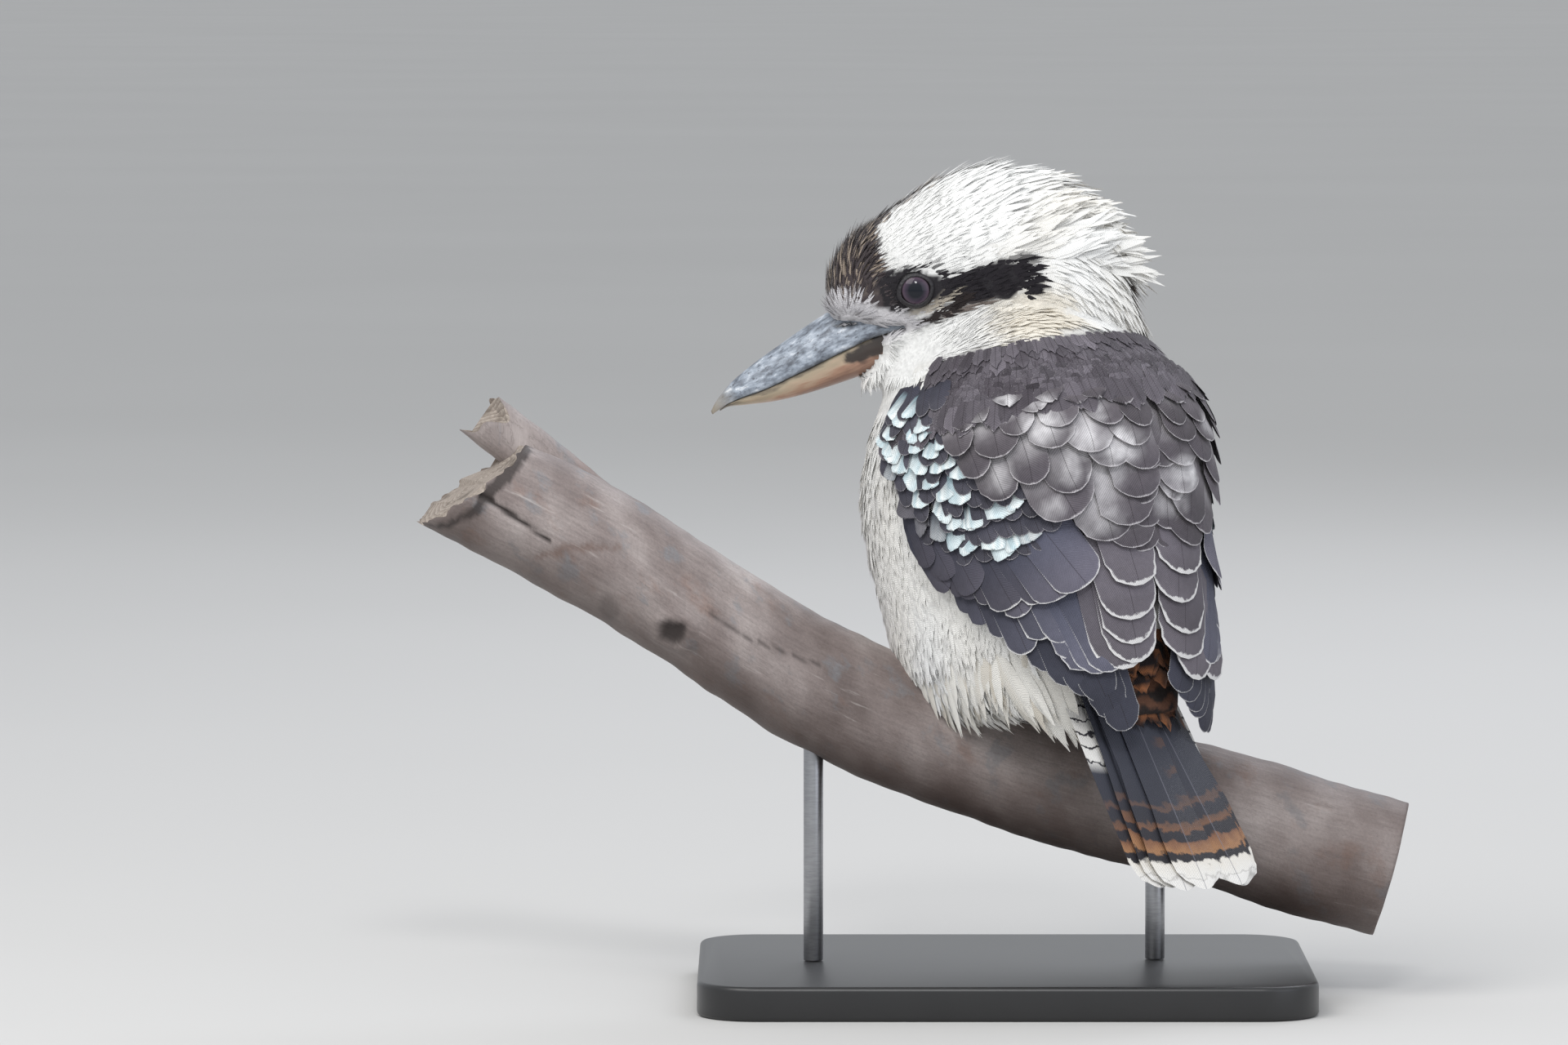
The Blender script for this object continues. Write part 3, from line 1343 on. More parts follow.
class Feathers:
    """Many vanes of one form, each a thin closed solid, written as one mesh."""

    def __init__(self, form: VaneForm, centres: Array, normals: Array, widths: Array, seed: int) -> None:
        """Lays the vanes out.

        Args:
            form: The vanes' form.
            centres: Their middle lines: vane, row, XYZ.
            normals: The outward normals there.
            widths: Each vane's full width.
            seed: Draws the wear of their tips.
        """
        self.form = form
        self.draw = np.random.default_rng(seed)
        self.count, self.rows = centres.shape[:2]
        self.centres, self.normals = centres, normals
        line = np.gradient(centres, axis=1)
        self.line = unit(line)
        self.normals = unit(normals - (normals * self.line).sum(-1, keepdims=True) * self.line)
        self.across = np.cross(self.line, self.normals)
        self.lengths = np.linalg.norm(np.diff(centres, axis=1), axis=2).sum(1)
        self.widths = widths
        self.u = np.linspace(-1, 1, form.columns)
        self.half = (widths[:, None] / 2) * form.widths[None, :]
        self.colour = np.ones((self.count, self.rows, form.columns, 3))
        self.fringe = np.full((self.count, self.rows, form.columns), -1.0)
        self.barb_slant = 0.9
        self.patch = np.zeros((self.count, 2))
        self.patch_size = (0.003, 0.003)

    @property
    def offsets(self) -> Array:
        """How far each column lies from its vane's middle line."""
        return self.half[:, :, None] * self.u

    @property
    def streaks(self) -> Array:
        """A streak for each column of each vane, from -1 to 1."""
        return self.draw.uniform(-1, 1, (self.count, 1, len(self.u)))

    def tilt(self, amount: float) -> None:
        """Lifts the edge on the positive side and lowers the other."""
        self.across = unit(self.across + self.normals * amount)
        self.normals = unit(np.cross(self.across, self.line))

    def grid(self) -> Array:
        """The upper face's points: vane, row, column, XYZ."""
        form, t = self.form, self.form.shares
        half = self.half[:, :, None] * (1 + 0.04 * self.draw.normal(size=(self.count, self.rows, 1)))
        offset = half * self.u
        arch = form.camber * half * (1 - self.u**2) - offset**2 / (2 * form.curve_radius)
        shape = (self.count, 1, form.columns)
        back = form.round * self.widths[:, None, None] * self.u**2 * ease(0.55, 1, t)[None, :, None]
        teeth = (
            form.notch
            * self.lengths[:, None, None]
            * self.draw.random(shape)
            * ease(0.6, 1, t)[None, :, None]
        )
        slide = -(back + teeth)
        top = self.centres[:, :, None] + self.across[:, :, None] * offset[..., None]
        top = top + self.normals[:, :, None] * arch[..., None] + self.line[:, :, None] * slide[..., None]
        self.offset, self.slide = offset, slide
        return top

    def mesh(self, name: str) -> bpy.types.Mesh:
        """Writes the vanes with their colours, distances and bake map.

        Args:
            name: The mesh's name.

        Returns:
            The mesh.
        """
        rows, columns, n = self.rows, self.form.columns, self.count
        top = self.grid()
        ids = np.arange(rows * columns).reshape(rows, columns)
        under = ids.copy()
        inner = (rows - 2) * (columns - 2)
        under[1:-1, 1:-1] = rows * columns + np.arange(inner).reshape(rows - 2, columns - 2)
        each = rows * columns + inner
        low = top[:, 1:-1, 1:-1] - self.normals[:, 1:-1, None] * self.form.thickness
        points = np.concatenate([top.reshape(n, -1, 3), low.reshape(n, -1, 3)], axis=1)

        def corners(g: Array) -> Array:
            """The quads of a grid of vertex numbers."""
            return np.stack([g[:-1, :-1], g[:-1, 1:], g[1:, 1:], g[1:, :-1]], axis=-1).reshape(-1, 4)

        quads = np.concatenate([corners(ids), corners(under)[:, ::-1]])
        faces = (quads[None] + (np.arange(n) * each)[:, None, None]).reshape(-1, 4)
        mesh = bpy.data.meshes.new(name)
        mesh.vertices.add(n * each)
        mesh.vertices.foreach_set("co", (points * MM).astype(np.float32).ravel())
        mesh.loops.add(faces.size)
        mesh.loops.foreach_set("vertex_index", faces.astype(np.int32).ravel())
        mesh.polygons.add(len(faces))
        mesh.polygons.foreach_set("loop_start", np.arange(0, faces.size, 4, dtype=np.int32))
        mesh.update(calc_edges=True)
        mesh.polygons.foreach_set("use_smooth", np.ones(len(faces), bool))
        border = np.ones(each, bool)
        border[ids[1:-1, 1:-1].ravel()] = False
        border[rows * columns :] = False
        ends = np.empty(len(mesh.edges) * 2, np.int32)
        mesh.edges.foreach_get("vertices", ends)
        sharp = border[ends % each].reshape(-1, 2).all(1)
        mesh.attributes.new("sharp_edge", "BOOLEAN", "EDGE").data.foreach_set("value", sharp)

        def both(values: Array) -> Array:
            """Values for the upper grid, repeated for the inner points of the lower face."""
            flat = values.reshape(n, rows * columns, -1)
            lower = values[:, 1:-1, 1:-1].reshape(n, inner, -1)
            return np.concatenate([flat, lower], axis=1).reshape(n * each, -1)

        t = self.form.shares
        side = self.half[:, :, None] * (1 - np.abs(self.u))
        tip = (1 - t)[None, :, None] * self.lengths[:, None, None] + 0 * side
        distance = t[None, :, None] * self.lengths[:, None, None] + self.slide
        put(mesh, "tint", "FLOAT_COLOR", both(self.colour))
        put(mesh, "rim", "FLOAT", both(np.minimum(side, tip)))
        put(mesh, "fringe", "FLOAT", both(self.fringe))
        put(mesh, "quill", "FLOAT", both(self.offset))
        put(mesh, "barb", "FLOAT", both(distance - self.barb_slant * np.abs(self.offset)))
        uv = np.empty((n, rows, columns, 2))
        uv[..., 0] = self.patch[:, None, None, 0] + self.u / 2 * self.patch_size[0]
        uv[..., 1] = self.patch[:, None, None, 1] + (t[None, :, None] - 0.5) * self.patch_size[1]
        layer = mesh.uv_layers.new(name="OFBake")
        layer.data.foreach_set("uv", both(uv)[faces.ravel()].astype(np.float32).ravel())
        return mesh


def tufts(
    form: VaneForm,
    roots: Array,
    normals: Array,
    way: Array,
    length: Array,
    width: Array,
    lift: Array,
    bend: Array,
    seed: int,
) -> Feathers:
    """Feathers that grow from the skin along a lie.

    Args:
        form: Their form.
        roots: Where they grow.
        normals: The skin's normals there.
        way: Which way they lie.
        length: Their lengths.
        width: Their widths.
        lift: How steeply they leave the skin, as rise over length.
        bend: How far their tips curl back to the skin, as a share of length.
        seed: Draws their wear.

    Returns:
        The feathers.
    """
    t = form.shares[None, :, None]
    along = flattened(way, normals)[:, None]
    out = normals[:, None]
    reach = np.broadcast_to(np.asarray(length, float), (len(roots),))[:, None, None]
    rise = np.broadcast_to(np.asarray(lift, float), (len(roots),))[:, None, None]
    curl = np.broadcast_to(np.asarray(bend, float), (len(roots),))[:, None, None]
    sunk = roots[:, None] - out * 0.7
    centres = sunk + along * reach * t + out * reach * (rise * t - curl * t * t)
    facing = np.broadcast_to(out, centres.shape).copy()
    widths = np.broadcast_to(np.asarray(width, float), (len(roots),)).copy()
    return Feathers(form, centres, facing, widths, seed)


def unwrap_head(points: Array) -> Array:
    """Places on the head and neck's own unwrap: turn round the bill's axis, and distance from the bill."""
    front, up, left = head_place(points)
    turn = np.arctan2(left, up) / (2 * math.pi) + 0.5
    return np.stack([0.02 + 0.96 * turn, np.clip((60 - front) / 150, 0.01, 0.99)], axis=1)


def unwrap_body(points: Array) -> Array:
    """Places on the body's own unwrap: turn round the spine, and distance up it."""
    along, degrees = body_place(points)
    return np.stack([0.02 + 0.96 * (degrees / 360 + 0.5), np.clip((along + 60) / 230, 0.01, 0.99)], axis=1)


# Where the hood begins, up the body's length. The tufts lie sideways on the left of the neck, so it
# begins lower there than over the nape and the right side.
HOOD_FROM_BREAST = 145.5
HOOD_FROM_LEFT = 148.0
HOOD_FROM_NAPE = 155.5
THROAT_HEIGHT = 244


def on_hood(points: Array) -> Array:
    """Whether points lie on the head or neck rather than on the body."""
    along, degrees = body_place(points)
    throat = (np.abs(degrees) > 96) & (points[:, 2] > THROAT_HEIGHT)
    back = ease(101, 88, np.abs(degrees))
    nape = back * ease(50, 15, degrees)
    low = HOOD_FROM_BREAST + (HOOD_FROM_LEFT - HOOD_FROM_BREAST) * back
    return (along > low + (HOOD_FROM_NAPE - HOOD_FROM_LEFT) * nape) | throat


def density() -> float:
    """Wider spacing while trying things out."""
    return 1.0


@dataclass
class Hood:
    """The white head and neck: short tufts on the face, a thick hood and a shaggy crest."""

    ground: SkinMap
    finish: bpy.types.Material
    spacing: float = 1.4
    face_spacing: float = 0.92
    crest_spacing: float = 1.6
    clump_spacing: float = 7.0
    eye_gap: float = 6.9

    @staticmethod
    def lie(points: Array) -> Array:
        """Which way the feathers lie: back from the bill, turning down the nape and neck."""
        front, up, _ = head_place(points)
        fall = ease(0, -48, front + 0.35 * up) * 1.2 + ease(272, 248, points[:, 2]) * 1.6 + 0.1
        fall = (
            fall
            + ease(-8, -26, up) * ease(40, 10, front) * 0.35
            + ease(-10, -18, up) * ease(30, 44, front) * 1.4
        )
        way = -HEAD_FRONT[None] - fall[:, None] * UP[None]
        steep = ease(40, 50, front) * ease(12, 18, up)
        way = blend(way, (HEAD_UP - 0.55 * HEAD_FRONT)[None], steep)
        fan = (front - NOSTRIL_FRONT)[:, None] * HEAD_FRONT + (up - NOSTRIL_UP + 1)[:, None] * HEAD_UP
        near_nostril = ease(40, 45, front) * ease(17, 13, up) * ease(-6, -4, up)
        return unit(blend(unit(way), unit(fan), near_nostril))

    def keep(self, points: Array) -> Array:
        """Where the hood grows: clear of the eyes and of the bill's horn."""
        front, up, left = head_place(points)
        eye = np.hypot(front - EYE_FRONT, up - EYE_UP) > self.eye_gap
        horn = (horn_gap(front, up) > 0.1) | (front < 33)
        return on_hood(points) & (eye | (np.abs(left) < 12)) & horn & (front < 60.5)

    def grow(self, name: str, form: VaneForm, spacing: float, zone: Any, sizes: Any, seed: int) -> None:
        """Grows one zone of tufts as two pieces, left and right.

        Args:
            name: The pieces' name.
            form: The tufts' form.
            spacing: Millimetres between roots.
            zone: A function of points that says where.
            sizes: A function of front and up that gives length, width and lift.
            seed: The draws' seed.
        """
        draw = np.random.default_rng(seed)
        for side in Side:

            def inside(points: Array) -> Array:
                """This side's share of the zone."""
                return zone(points) & (head_place(points)[2] * side.value >= 0)

            roots, normals = self.ground.scatter(spacing * density(), inside, seed + side.value)
            front, up, _ = head_place(roots)
            length, width, lift = sizes(front, up)
            length = length * (1 + 0.2 * draw.normal(size=len(roots)))
            collar = ease(166, 157, body_place(roots)[0])
            lift = np.maximum(lift * (1 + 0.35 * draw.normal(size=len(roots))), 0.04) + 0.05 * collar
            way = self.lie(roots) + 0.09 * draw.normal(size=roots.shape)
            coat = tufts(form, roots, normals, way, length, width, lift, lift * 0.4, seed + 5)
            colour = MARKINGS.hood(roots, 0.7)
            shade = 1 - 0.08 * draw.random((len(roots), 1, 1, 1))
            rows = 0.93 + 0.07 * coat.form.shares[None, :, None, None]
            coat.colour = colour[:, None, None, :] * shade * rows * np.ones_like(coat.colour)
            coat.barb_slant = 0.2
            coat.patch = unwrap_head(roots)
            word = f"{name}_{side.name.lower()}"
            dress(new_object(word, coat.mesh(word), self.finish), "white_plumage")

    def short(self) -> None:
        """Short tufts, smallest on the face."""

        def face(points: Array) -> Array:
            """The face in front of the ear."""
            return self.keep(points) & (head_place(points)[0] > 6)

        def rear(points: Array) -> Array:
            """The rest of the hood."""
            return self.keep(points) & (head_place(points)[0] <= 6)

        def face_sizes(front: Array, up: Array) -> tuple[Array, Array, Array]:
            """Short by the bill, upright on the forehead."""
            upright = ease(30, 46, front) * ease(12, 20, up)
            bristle = ease(38, 45, front) * ease(15, 11, up)
            length = 4.0 + 4.4 * ease(50, 10, front) + 4.6 * upright + 1.8 * bristle * ease(-7, -3, up)
            width = 1.05 + 0.4 * ease(44, 12, front)
            chin = ease(-8, -14, up)
            return length + 2 * chin, width, 0.14 + 0.34 * upright + 0.1 * bristle * (1 - chin) - 0.08 * chin

        def rear_sizes(front: Array, _: Array) -> tuple[Array, Array, Array]:
            """Longer towards the nape."""
            length = 9 + 4 * ease(-4, -40, front)
            return length, 2.1 + 0.5 * ease(-10, -45, front), 0.09 + 0.12 * ease(-24, -46, front)

        self.grow("coat_face", FACE_TUFT, self.face_spacing, face, face_sizes, SEED + 10)
        self.grow("coat_hood", DOWN_TUFT, self.spacing, rear, rear_sizes, SEED + 12)

    def crest(self) -> None:
        """Longer pointed feathers over crown and nape, in clumps that stand out at the back."""

        def zone(points: Array) -> Array:
            """The top and back of the head."""
            front, up, _ = head_place(points)
            low = 33 - 0.62 * np.clip(34 - front, 0, 90)
            return on_hood(points) & (front < 36) & (up > low) & (up > -34)

        draw = np.random.default_rng(SEED + 20)
        roots, normals = self.ground.scatter(self.crest_spacing * density(), zone, SEED + 21)
        heads, _ = self.ground.scatter(self.clump_spacing, zone, SEED + 22)
        front, up, left = head_place(roots)
        gaps = np.linalg.norm(roots[:, None] - heads[None], axis=2)
        nearest = gaps.argmin(1)
        rear = ease(14, -44, front)
        pull = (heads[nearest] - roots) * (0.05 * rear)[:, None]
        down = ease(0, -26, up) * ease(-30, -48, front)
        way = unit(-HEAD_FRONT[None] - (0.1 + 0.5 * down)[:, None] * UP[None]) + pull
        way = unit(way + 0.05 * draw.normal(size=roots.shape))
        clump = draw.normal(size=len(heads))[nearest]
        lift = 0.06 + 0.3 * ease(-12, -46, front) + 0.07 * clump * rear
        crown = ease(4, 0, np.abs(left)) * ease(-14, 4, front)
        lift = lift + 0.2 * crown * (draw.random(len(roots)) < 0.5)
        lift = np.maximum(lift + 0.03 * draw.normal(size=len(roots)), 0.03) * (1 - 0.5 * down)
        length = (
            (9.5 + 9.5 * ease(30, -28, front) + 1.6 * clump * rear)
            * (1 + 0.12 * draw.normal(size=len(roots)))
        )
        width = 2.5 + 0.7 * rear
        stood = flattened(way, normals)
        way = blend(stood, way, 0.75 * rear)
        lock = tufts(CREST_LOCK, roots, normals, way, length, width, lift, lift * 0.25, SEED + 23)
        colour = MARKINGS.hood(roots, 1.1)
        lock.colour = np.broadcast_to(colour[:, None, None, :], lock.colour.shape) * 0.99
        lock.barb_slant = 0.35
        lock.patch = unwrap_head(roots)
        dress(new_object("coat_crest", lock.mesh("coat_crest"), self.finish), "white_plumage")

    def build(self) -> None:
        """Grows the tufts and the crest."""
        self.short()
        self.crest()


@dataclass
class Underparts:
    """Breast, belly and flanks: soft white feathers, with long tufts over the branch and vent."""

    ground: SkinMap
    finish: bpy.types.Material
    spacing: float = 2.15
    middle: float = 72.0

    @staticmethod
    def keep(points: Array) -> Array:
        """Where the pale feathers grow: outside the wings, the mantle and the hood."""
        along, degrees = body_place(points)
        out = np.abs(degrees)
        q = points - TAIL_ROOT
        distance, above = q @ TAIL_WAY, q @ TAIL_UP
        covered = (out < read(WING_EDGE, along, 1) - 6) & (along > 26)
        covered |= (out < 84 + np.clip(144 - along, 0, 11) * 1.4) & (along > 110)
        on_top = ((above > -3) & (distance > 44)) | ((above > -10) & (distance > 72)) | (distance > 90)
        return ~covered & ~on_top & (along < 150) & ~on_hood(points)

    def soft(self) -> None:
        """The short coat, as four pieces."""
        for side, low_half in ((side, low) for side in Side for low in (True, False)):

            def inside(points: Array) -> Array:
                """This piece's share."""
                along, degrees = body_place(points)
                return self.keep(points) & (degrees * side.value >= 0) & ((along < self.middle) == low_half)

            roots, normals = self.ground.scatter(self.spacing * density(), inside, SEED + 30 + side.value)
            draw = np.random.default_rng(SEED + 31 + side.value)
            along, degrees = body_place(roots)
            distance = (roots - TAIL_ROOT) @ TAIL_WAY
            low = ease(34, 10, along)
            hang = unit(TAIL_WAY * 0.7 - UP * 0.6)[None]
            way = blend(-SPINE[None], hang, low) + 0.12 * draw.normal(size=roots.shape)
            vent = ease(40, 60, distance)
            way = blend(way, TAIL_WAY[None], vent)
            length = (11 + 6 * low + 6 * vent) * (1 + 0.2 * draw.normal(size=len(roots)))
            lift = 0.11 + 0.07 * low
            coat = tufts(BREAST_TUFT, roots, normals, way, length, 3.3, lift, lift * 0.35, SEED + 32)
            colour = MARKINGS.skin(roots, 1.0)
            shade = 1 - 0.1 * draw.random(len(roots))
            coat.colour = (colour * shade[:, None])[:, None, None, :] * np.ones_like(coat.colour)
            coat.barb_slant = 0.5
            coat.patch = unwrap_body(roots)
            name = f"coat_{'belly' if low_half else 'breast'}_{side.name.lower()}"
            dress(new_object(name, coat.mesh(name), self.finish), "white_plumage")

    def hang(
        self, name: str, roots: Array, normals: Array, way: Array, length: Array, width: Array, seed: int
    ) -> None:
        """Hangs long silky locks.

        Args:
            name: The piece's name.
            roots: Where they grow.
            normals: The surface's normals there.
            way: Which way they hang.
            length: Their lengths.
            width: Their widths.
            seed: The draws' seed.
        """
        draw = np.random.default_rng(seed)
        lock = tufts(SILK_LOCK, roots, normals, way, length, width, 0.12, 0.12, seed + 1)
        colour = blend(tone("f1efe9"), tone("d6cfc2"), draw.random(len(roots)) ** 2)
        fade = 1 - 0.1 * (1 - lock.form.shares[None, :, None, None])
        lock.colour = colour[:, None, None, :] * fade * np.ones_like(lock.colour)
        lock.barb_slant = 0.6
        lock.patch = unwrap_body(roots)
        dress(new_object(name, lock.mesh(name), self.finish), "white_plumage")

    def belly(self) -> None:
        """Locks that hang over the branch from the belly, and longer ones beside the tail's root."""
        draw = np.random.default_rng(SEED + 33)
        count = 560
        degrees = draw.uniform(44, 316, count)
        along = draw.uniform(9, 30, count)
        roots, normals = on_body(TORSO, along, np.radians(degrees) + parting(along), -2.2)
        way = -UP[None] + 0.1 * draw.normal(size=roots.shape) + 0.1 * normals
        length = (17 + 0.25 * along) * (1 + 0.16 * draw.normal(size=count))
        self.hang("coat_belly_locks", roots, normals, way, length, draw.uniform(2.2, 4.6, count), SEED + 34)
        for side in Side:
            count = 60
            degrees = draw.uniform(50, 78, count)
            along = draw.uniform(10, 26, count)
            angle = np.radians(degrees) * side.value + parting(along)
            roots, normals = on_body(TORSO, along, angle, -1.4)
            way = unit(TAIL_WAY * 0.75 - UP * 0.35)[None] + 0.06 * draw.normal(size=roots.shape)
            length = (40 - 0.35 * (degrees - 50)) * (1 + 0.1 * draw.normal(size=count))
            name = f"coat_thigh_{side.name.lower()}"
            self.hang(name, roots, normals, way, length, draw.uniform(4, 8, count), SEED + 37 + side.value)

    def vent(self) -> None:
        """White feathers under the tail's root."""
        draw = np.random.default_rng(SEED + 35)
        count = 120
        side = draw.uniform(-22, 17, count)
        distance = draw.uniform(36, 66, count)
        depth = -read(RUMP, distance, 3) * np.sqrt(np.clip(1 - (side / 27) ** 2, 0.04, 1)) + 0.5
        roots = tail_point(distance, side, depth)
        normals = unit(-TAIL_UP[None] + RIGHT[None] * (side / 22)[:, None])
        way = TAIL_WAY[None] + RIGHT[None] * (side * 0.006)[:, None] + 0.05 * draw.normal(size=roots.shape)
        length = (30 - 0.02 * side**2) * (1 + 0.14 * draw.normal(size=count))
        self.hang("coat_vent", roots, normals, way, length, draw.uniform(5, 9, count), SEED + 36)

    def build(self) -> None:
        """Grows the pale coat."""
        self.soft()
        self.belly()
        self.vent()


@dataclass
class Mantle:
    """The dark upper back between hood and scapulars, in rows of small soft-edged feathers."""

    finish: bpy.types.Material
    first_row: float = 147.5
    last_row: float = 124.5
    rows: int = 12
    pitch: float = 4.2

    def build(self) -> None:
        """Lays the rows, each row half a feather off the next."""
        draw = np.random.default_rng(SEED + 40)
        places = []
        for k in range(self.rows):
            along = self.first_row + (self.last_row - self.first_row) * k / (self.rows - 1)
            width = 88 + min(max(144 - along, 0), 11) * 1.4
            step = math.degrees(self.pitch / 60)
            count = int(2 * width / step)
            for i in range(count):
                degrees = -width + 2 * width * (i + 0.5 * (k % 2)) / count
                places.append((along + draw.normal() * 0.9, degrees + draw.normal() * 0.8, k))
        along, degrees, row = np.array(places).T
        angle = np.radians(degrees) + parting(along)
        depth = np.where(along < 142, wing_depth(along, np.abs(degrees)), 0.4)
        inner = ease(90, 72, np.abs(degrees))
        raised = 2.8 * ease(140, 122, along) * (1 - inner) + 4.0 * ease(140, 122, along) * inner
        height = depth * (0.75 + 0.25 * ease(140, 128, along) * inner) - 0.7 + raised
        roots, normals = on_body(WING_BED, along, angle, height)
        side = np.sign(degrees) * ease(20, 90, np.abs(degrees)) * 0.12
        across = np.cross(-SPINE[None], normals)
        way = -SPINE[None] + across * side[:, None] + 0.07 * draw.normal(size=roots.shape)
        length = (10 + row * 0.3) * (1 + 0.14 * draw.normal(size=len(roots)))
        width = (5.2 + row * 0.34) * (1 + 0.08 * draw.normal(size=len(roots)))
        coat = tufts(
            MANTLE_FEATHER, roots, normals, way, length, width, 0.15 + 0.03 * ease(130, 118, along), 0.05,
            SEED + 41
        )
        drift = 0.4 + 0.3 * waves(roots, 11, 9) + 0.16 * draw.normal(size=len(roots))
        base = blend(MARKINGS.mantle, MARKINGS.mantle_pale, np.clip(drift, 0, 1))
        tips = ease(0.6, 1.0, coat.form.shares)[None, :, None] * 0.4 + 0 * coat.u
        colour = blend(base[:, None, None, :] * 0.92, MARKINGS.mantle_pale * 1.2, tips)
        lighter = 1 + 0.16 * draw.normal(size=(len(roots), 1, 1, 1))
        coat.colour = colour * lighter * np.ones_like(coat.colour)
        coat.fringe = (
            (-0.3 + 0.6 * ease(3, 9, row))[:, None, None] * ease(0.5, 0.9, coat.form.shares)[None, :, None]
            + 0 * coat.u
        )
        coat.barb_slant = 0.7
        coat.patch = unwrap_body(roots)
        dress(new_object("coat_mantle", coat.mesh("coat_mantle"), self.finish), "wing_plumage")


Place = tuple[float, float]


@dataclass(frozen=True)
class Plumage:
    """How one kind of wing feather looks and sits.

    Colours run from base by middle to tip. The fringe is its width in millimetres beside and at
    the tip, and the pale base is how white the feather's root is, from 0 to 1.
    """

    form: VaneForm
    base: str
    middle: str
    tip: str
    fringe: Place
    pale_base: float = 0.0
    tilt: float = 0.06
    sink: float = 1.6
    flight: bool = False


PALE_PATCHES = (
    (121, 54, 5, 0.8),
    (116, 40, 6, 0.55),
    (110, 42, 8, 0.75),
    (112, 22, 5, 0.4),
    (102, 27, 8, 0.85),
    (97, 14, 8, 0.85),
    (90, 34, 6, 0.5),
    (84, -9, 7, 0.95),
    (86, 20, 7, 0.6),
    (104, -26, 6, 0.5),
    (76, 42, 6, 0.4),
    (74, -5, 6, 0.6),
    (70, 22, 8, 0.5),
    (64, 33, 6, 0.5),
    (92, 60, 6, 0.4),
    (114, 64, 5, 0.3),
)


def frost(along: Array, degrees: Array) -> Array:
    """How much of the white feather bases shows through on the shoulders, from 0 to 1."""
    share = np.zeros(np.shape(along))
    for s, d, size, strength in PALE_PATCHES:
        gap = np.hypot((along - s) / size, (degrees - d) * 1.05 / size)
        share = np.maximum(share, strength * ease(1.45, 0.25, gap))
    return share


PRIMARY = Plumage(FLIGHT, "2d2e38", "343641", "42434e", (0.0, 0.4), flight=True)
SECONDARY = Plumage(FLIGHT, "30323c", "3a3c48", "4a4a55", (0.0, 0.8), flight=True)
TERTIARY = Plumage(TERTIAL, "6a666c", "76717a", "6a656c", (0.5, 2.1), tilt=0.03, flight=True)
GREATER = Plumage(FLIGHT, "363843", "42434f", "514f59", (0.0, 0.75), flight=True)
PLAIN_COVERT = Plumage(COVERT, "3a3a45", "454550", "4e4d56", (0.15, 0.3))
BROAD_SCAPULAR = Plumage(COVERT, "918c91", "6a656a", "59545a", (0.25, 0.8), pale_base=0.6, tilt=0.03)
SCAPULAR = Plumage(COVERT, "837d83", "6b666b", "5b565b", (0.2, 0.65), pale_base=0.5, tilt=0.03)
UPPER_SCAPULAR = Plumage(
    SOFT_COVERT, "6f6a6f", "635e62", "585358", (0.0, 0.45), pale_base=0.2, tilt=0.03, sink=3.2
)


@dataclass(frozen=True)
class Row:
    """One row of feathers on the left wing, from its outer edge inwards.

    Tips are a distance up the spine and degrees out from the parting, roots are the steps from
    the first and the last tip to their roots.
    """

    name: str
    tips: tuple[Place, ...]
    roots: tuple[Place, Place]
    width: Place
    lift: Place
    look: Plumage


ROWS = (
    Row(
        "primaries", ((14, 50), (7, 40), (2, 32), (-2, 25), (-7, 20), (-13, 15)), ((52, 20), (62, 22)),
        (14, 17), (0.2, 1.2), PRIMARY
    ),
    Row(
        "secondaries",
        (
            (44, 82), (38, 77), (31, 69), (22, 60), (26, 52), (24, 41), (17, 37), (12, 32), (10, 27),
            (10, 22)
        ),
        ((40, 8), (62, 26)), (12, 19), (1.2, 3.2), SECONDARY
    ),
    Row(
        "tertials", ((10, 16), (14, 12.5), (19, 12), (29, 11.5), (42, 11)), ((56, 10), (44, 3)), (28, 27),
        (3.2, 5.2), TERTIARY
    ),
    Row(
        "lower_coverts", ((60, 88), (57, 86), (52, 82), (48, 77), (46, 70), (38, 58), (42, 50)),
        ((34, 8), (40, 20)), (10, 15), (2.6, 3.2), GREATER
    ),
    Row(
        "greater_coverts", ((66, 90), (58, 84), (51, 76), (42, 61), (42, 44), (46, 32)),
        ((32, 6), (38, 20)), (11, 23), (3.2, 4.4), GREATER
    ),
    Row("scapulars_i", ((62, 20), (56, 9)), ((34, 8), (32, 5)), (25, 24), (5.0, 5.6), BROAD_SCAPULAR),
    Row("scapulars_h", ((74, 34), (66, 10)), ((34, 9), (32, 4)), (28, 26), (5.2, 5.8), BROAD_SCAPULAR),
    Row(
        "scapulars_g", ((84, 57), (82, 31), (78, 7)), ((28, 10), (28, 3)), (18, 25), (5.0, 5.8),
        BROAD_SCAPULAR
    ),
    Row(
        "scapulars_f", ((94, 66), (90, 48), (90, 19), (88, 6)), ((26, 7), (26, 2)), (16, 23), (5.0, 5.8),
        BROAD_SCAPULAR
    ),
    Row(
        "scapulars_e", ((101, 58), (99, 38), (97, 24), (98, 9)), ((26, 6), (24, 2)), (20, 20), (5.2, 5.6),
        SCAPULAR
    ),
    Row(
        "scapulars_d", ((104, 71), (108, 48), (106, 33), (105, 18), (105, 6)), ((24, 6), (22, 2)), (16, 18),
        (5.0, 5.2), SCAPULAR
    ),
    Row(
        "scapulars_c",
        ((112, 70), (115, 61), (117, 52), (114, 42), (117, 35), (113, 27), (116, 19), (112, 10)),
        ((20, 5), (18, 2)), (12, 14), (4.6, 4.8), UPPER_SCAPULAR
    ),
    Row(
        "middle", ((54, 5), (64, 4), (76, 4), (88, 3)), ((30, 2), (26, 1)), (22, 20), (3.6, 4.4),
        BROAD_SCAPULAR
    ),
)
RIGHT_TIPS: dict[str, tuple[Place, ...]] = {
    "tertials": ((2, 27), (3, 14), (12, 9), (22, 7), (34, 6), (45, 7)),
    "primaries": ((-10, 43), (-19, 39), (-16, 31), (-12, 24), (-9, 17), (-5, 12), (0, 8)),
}
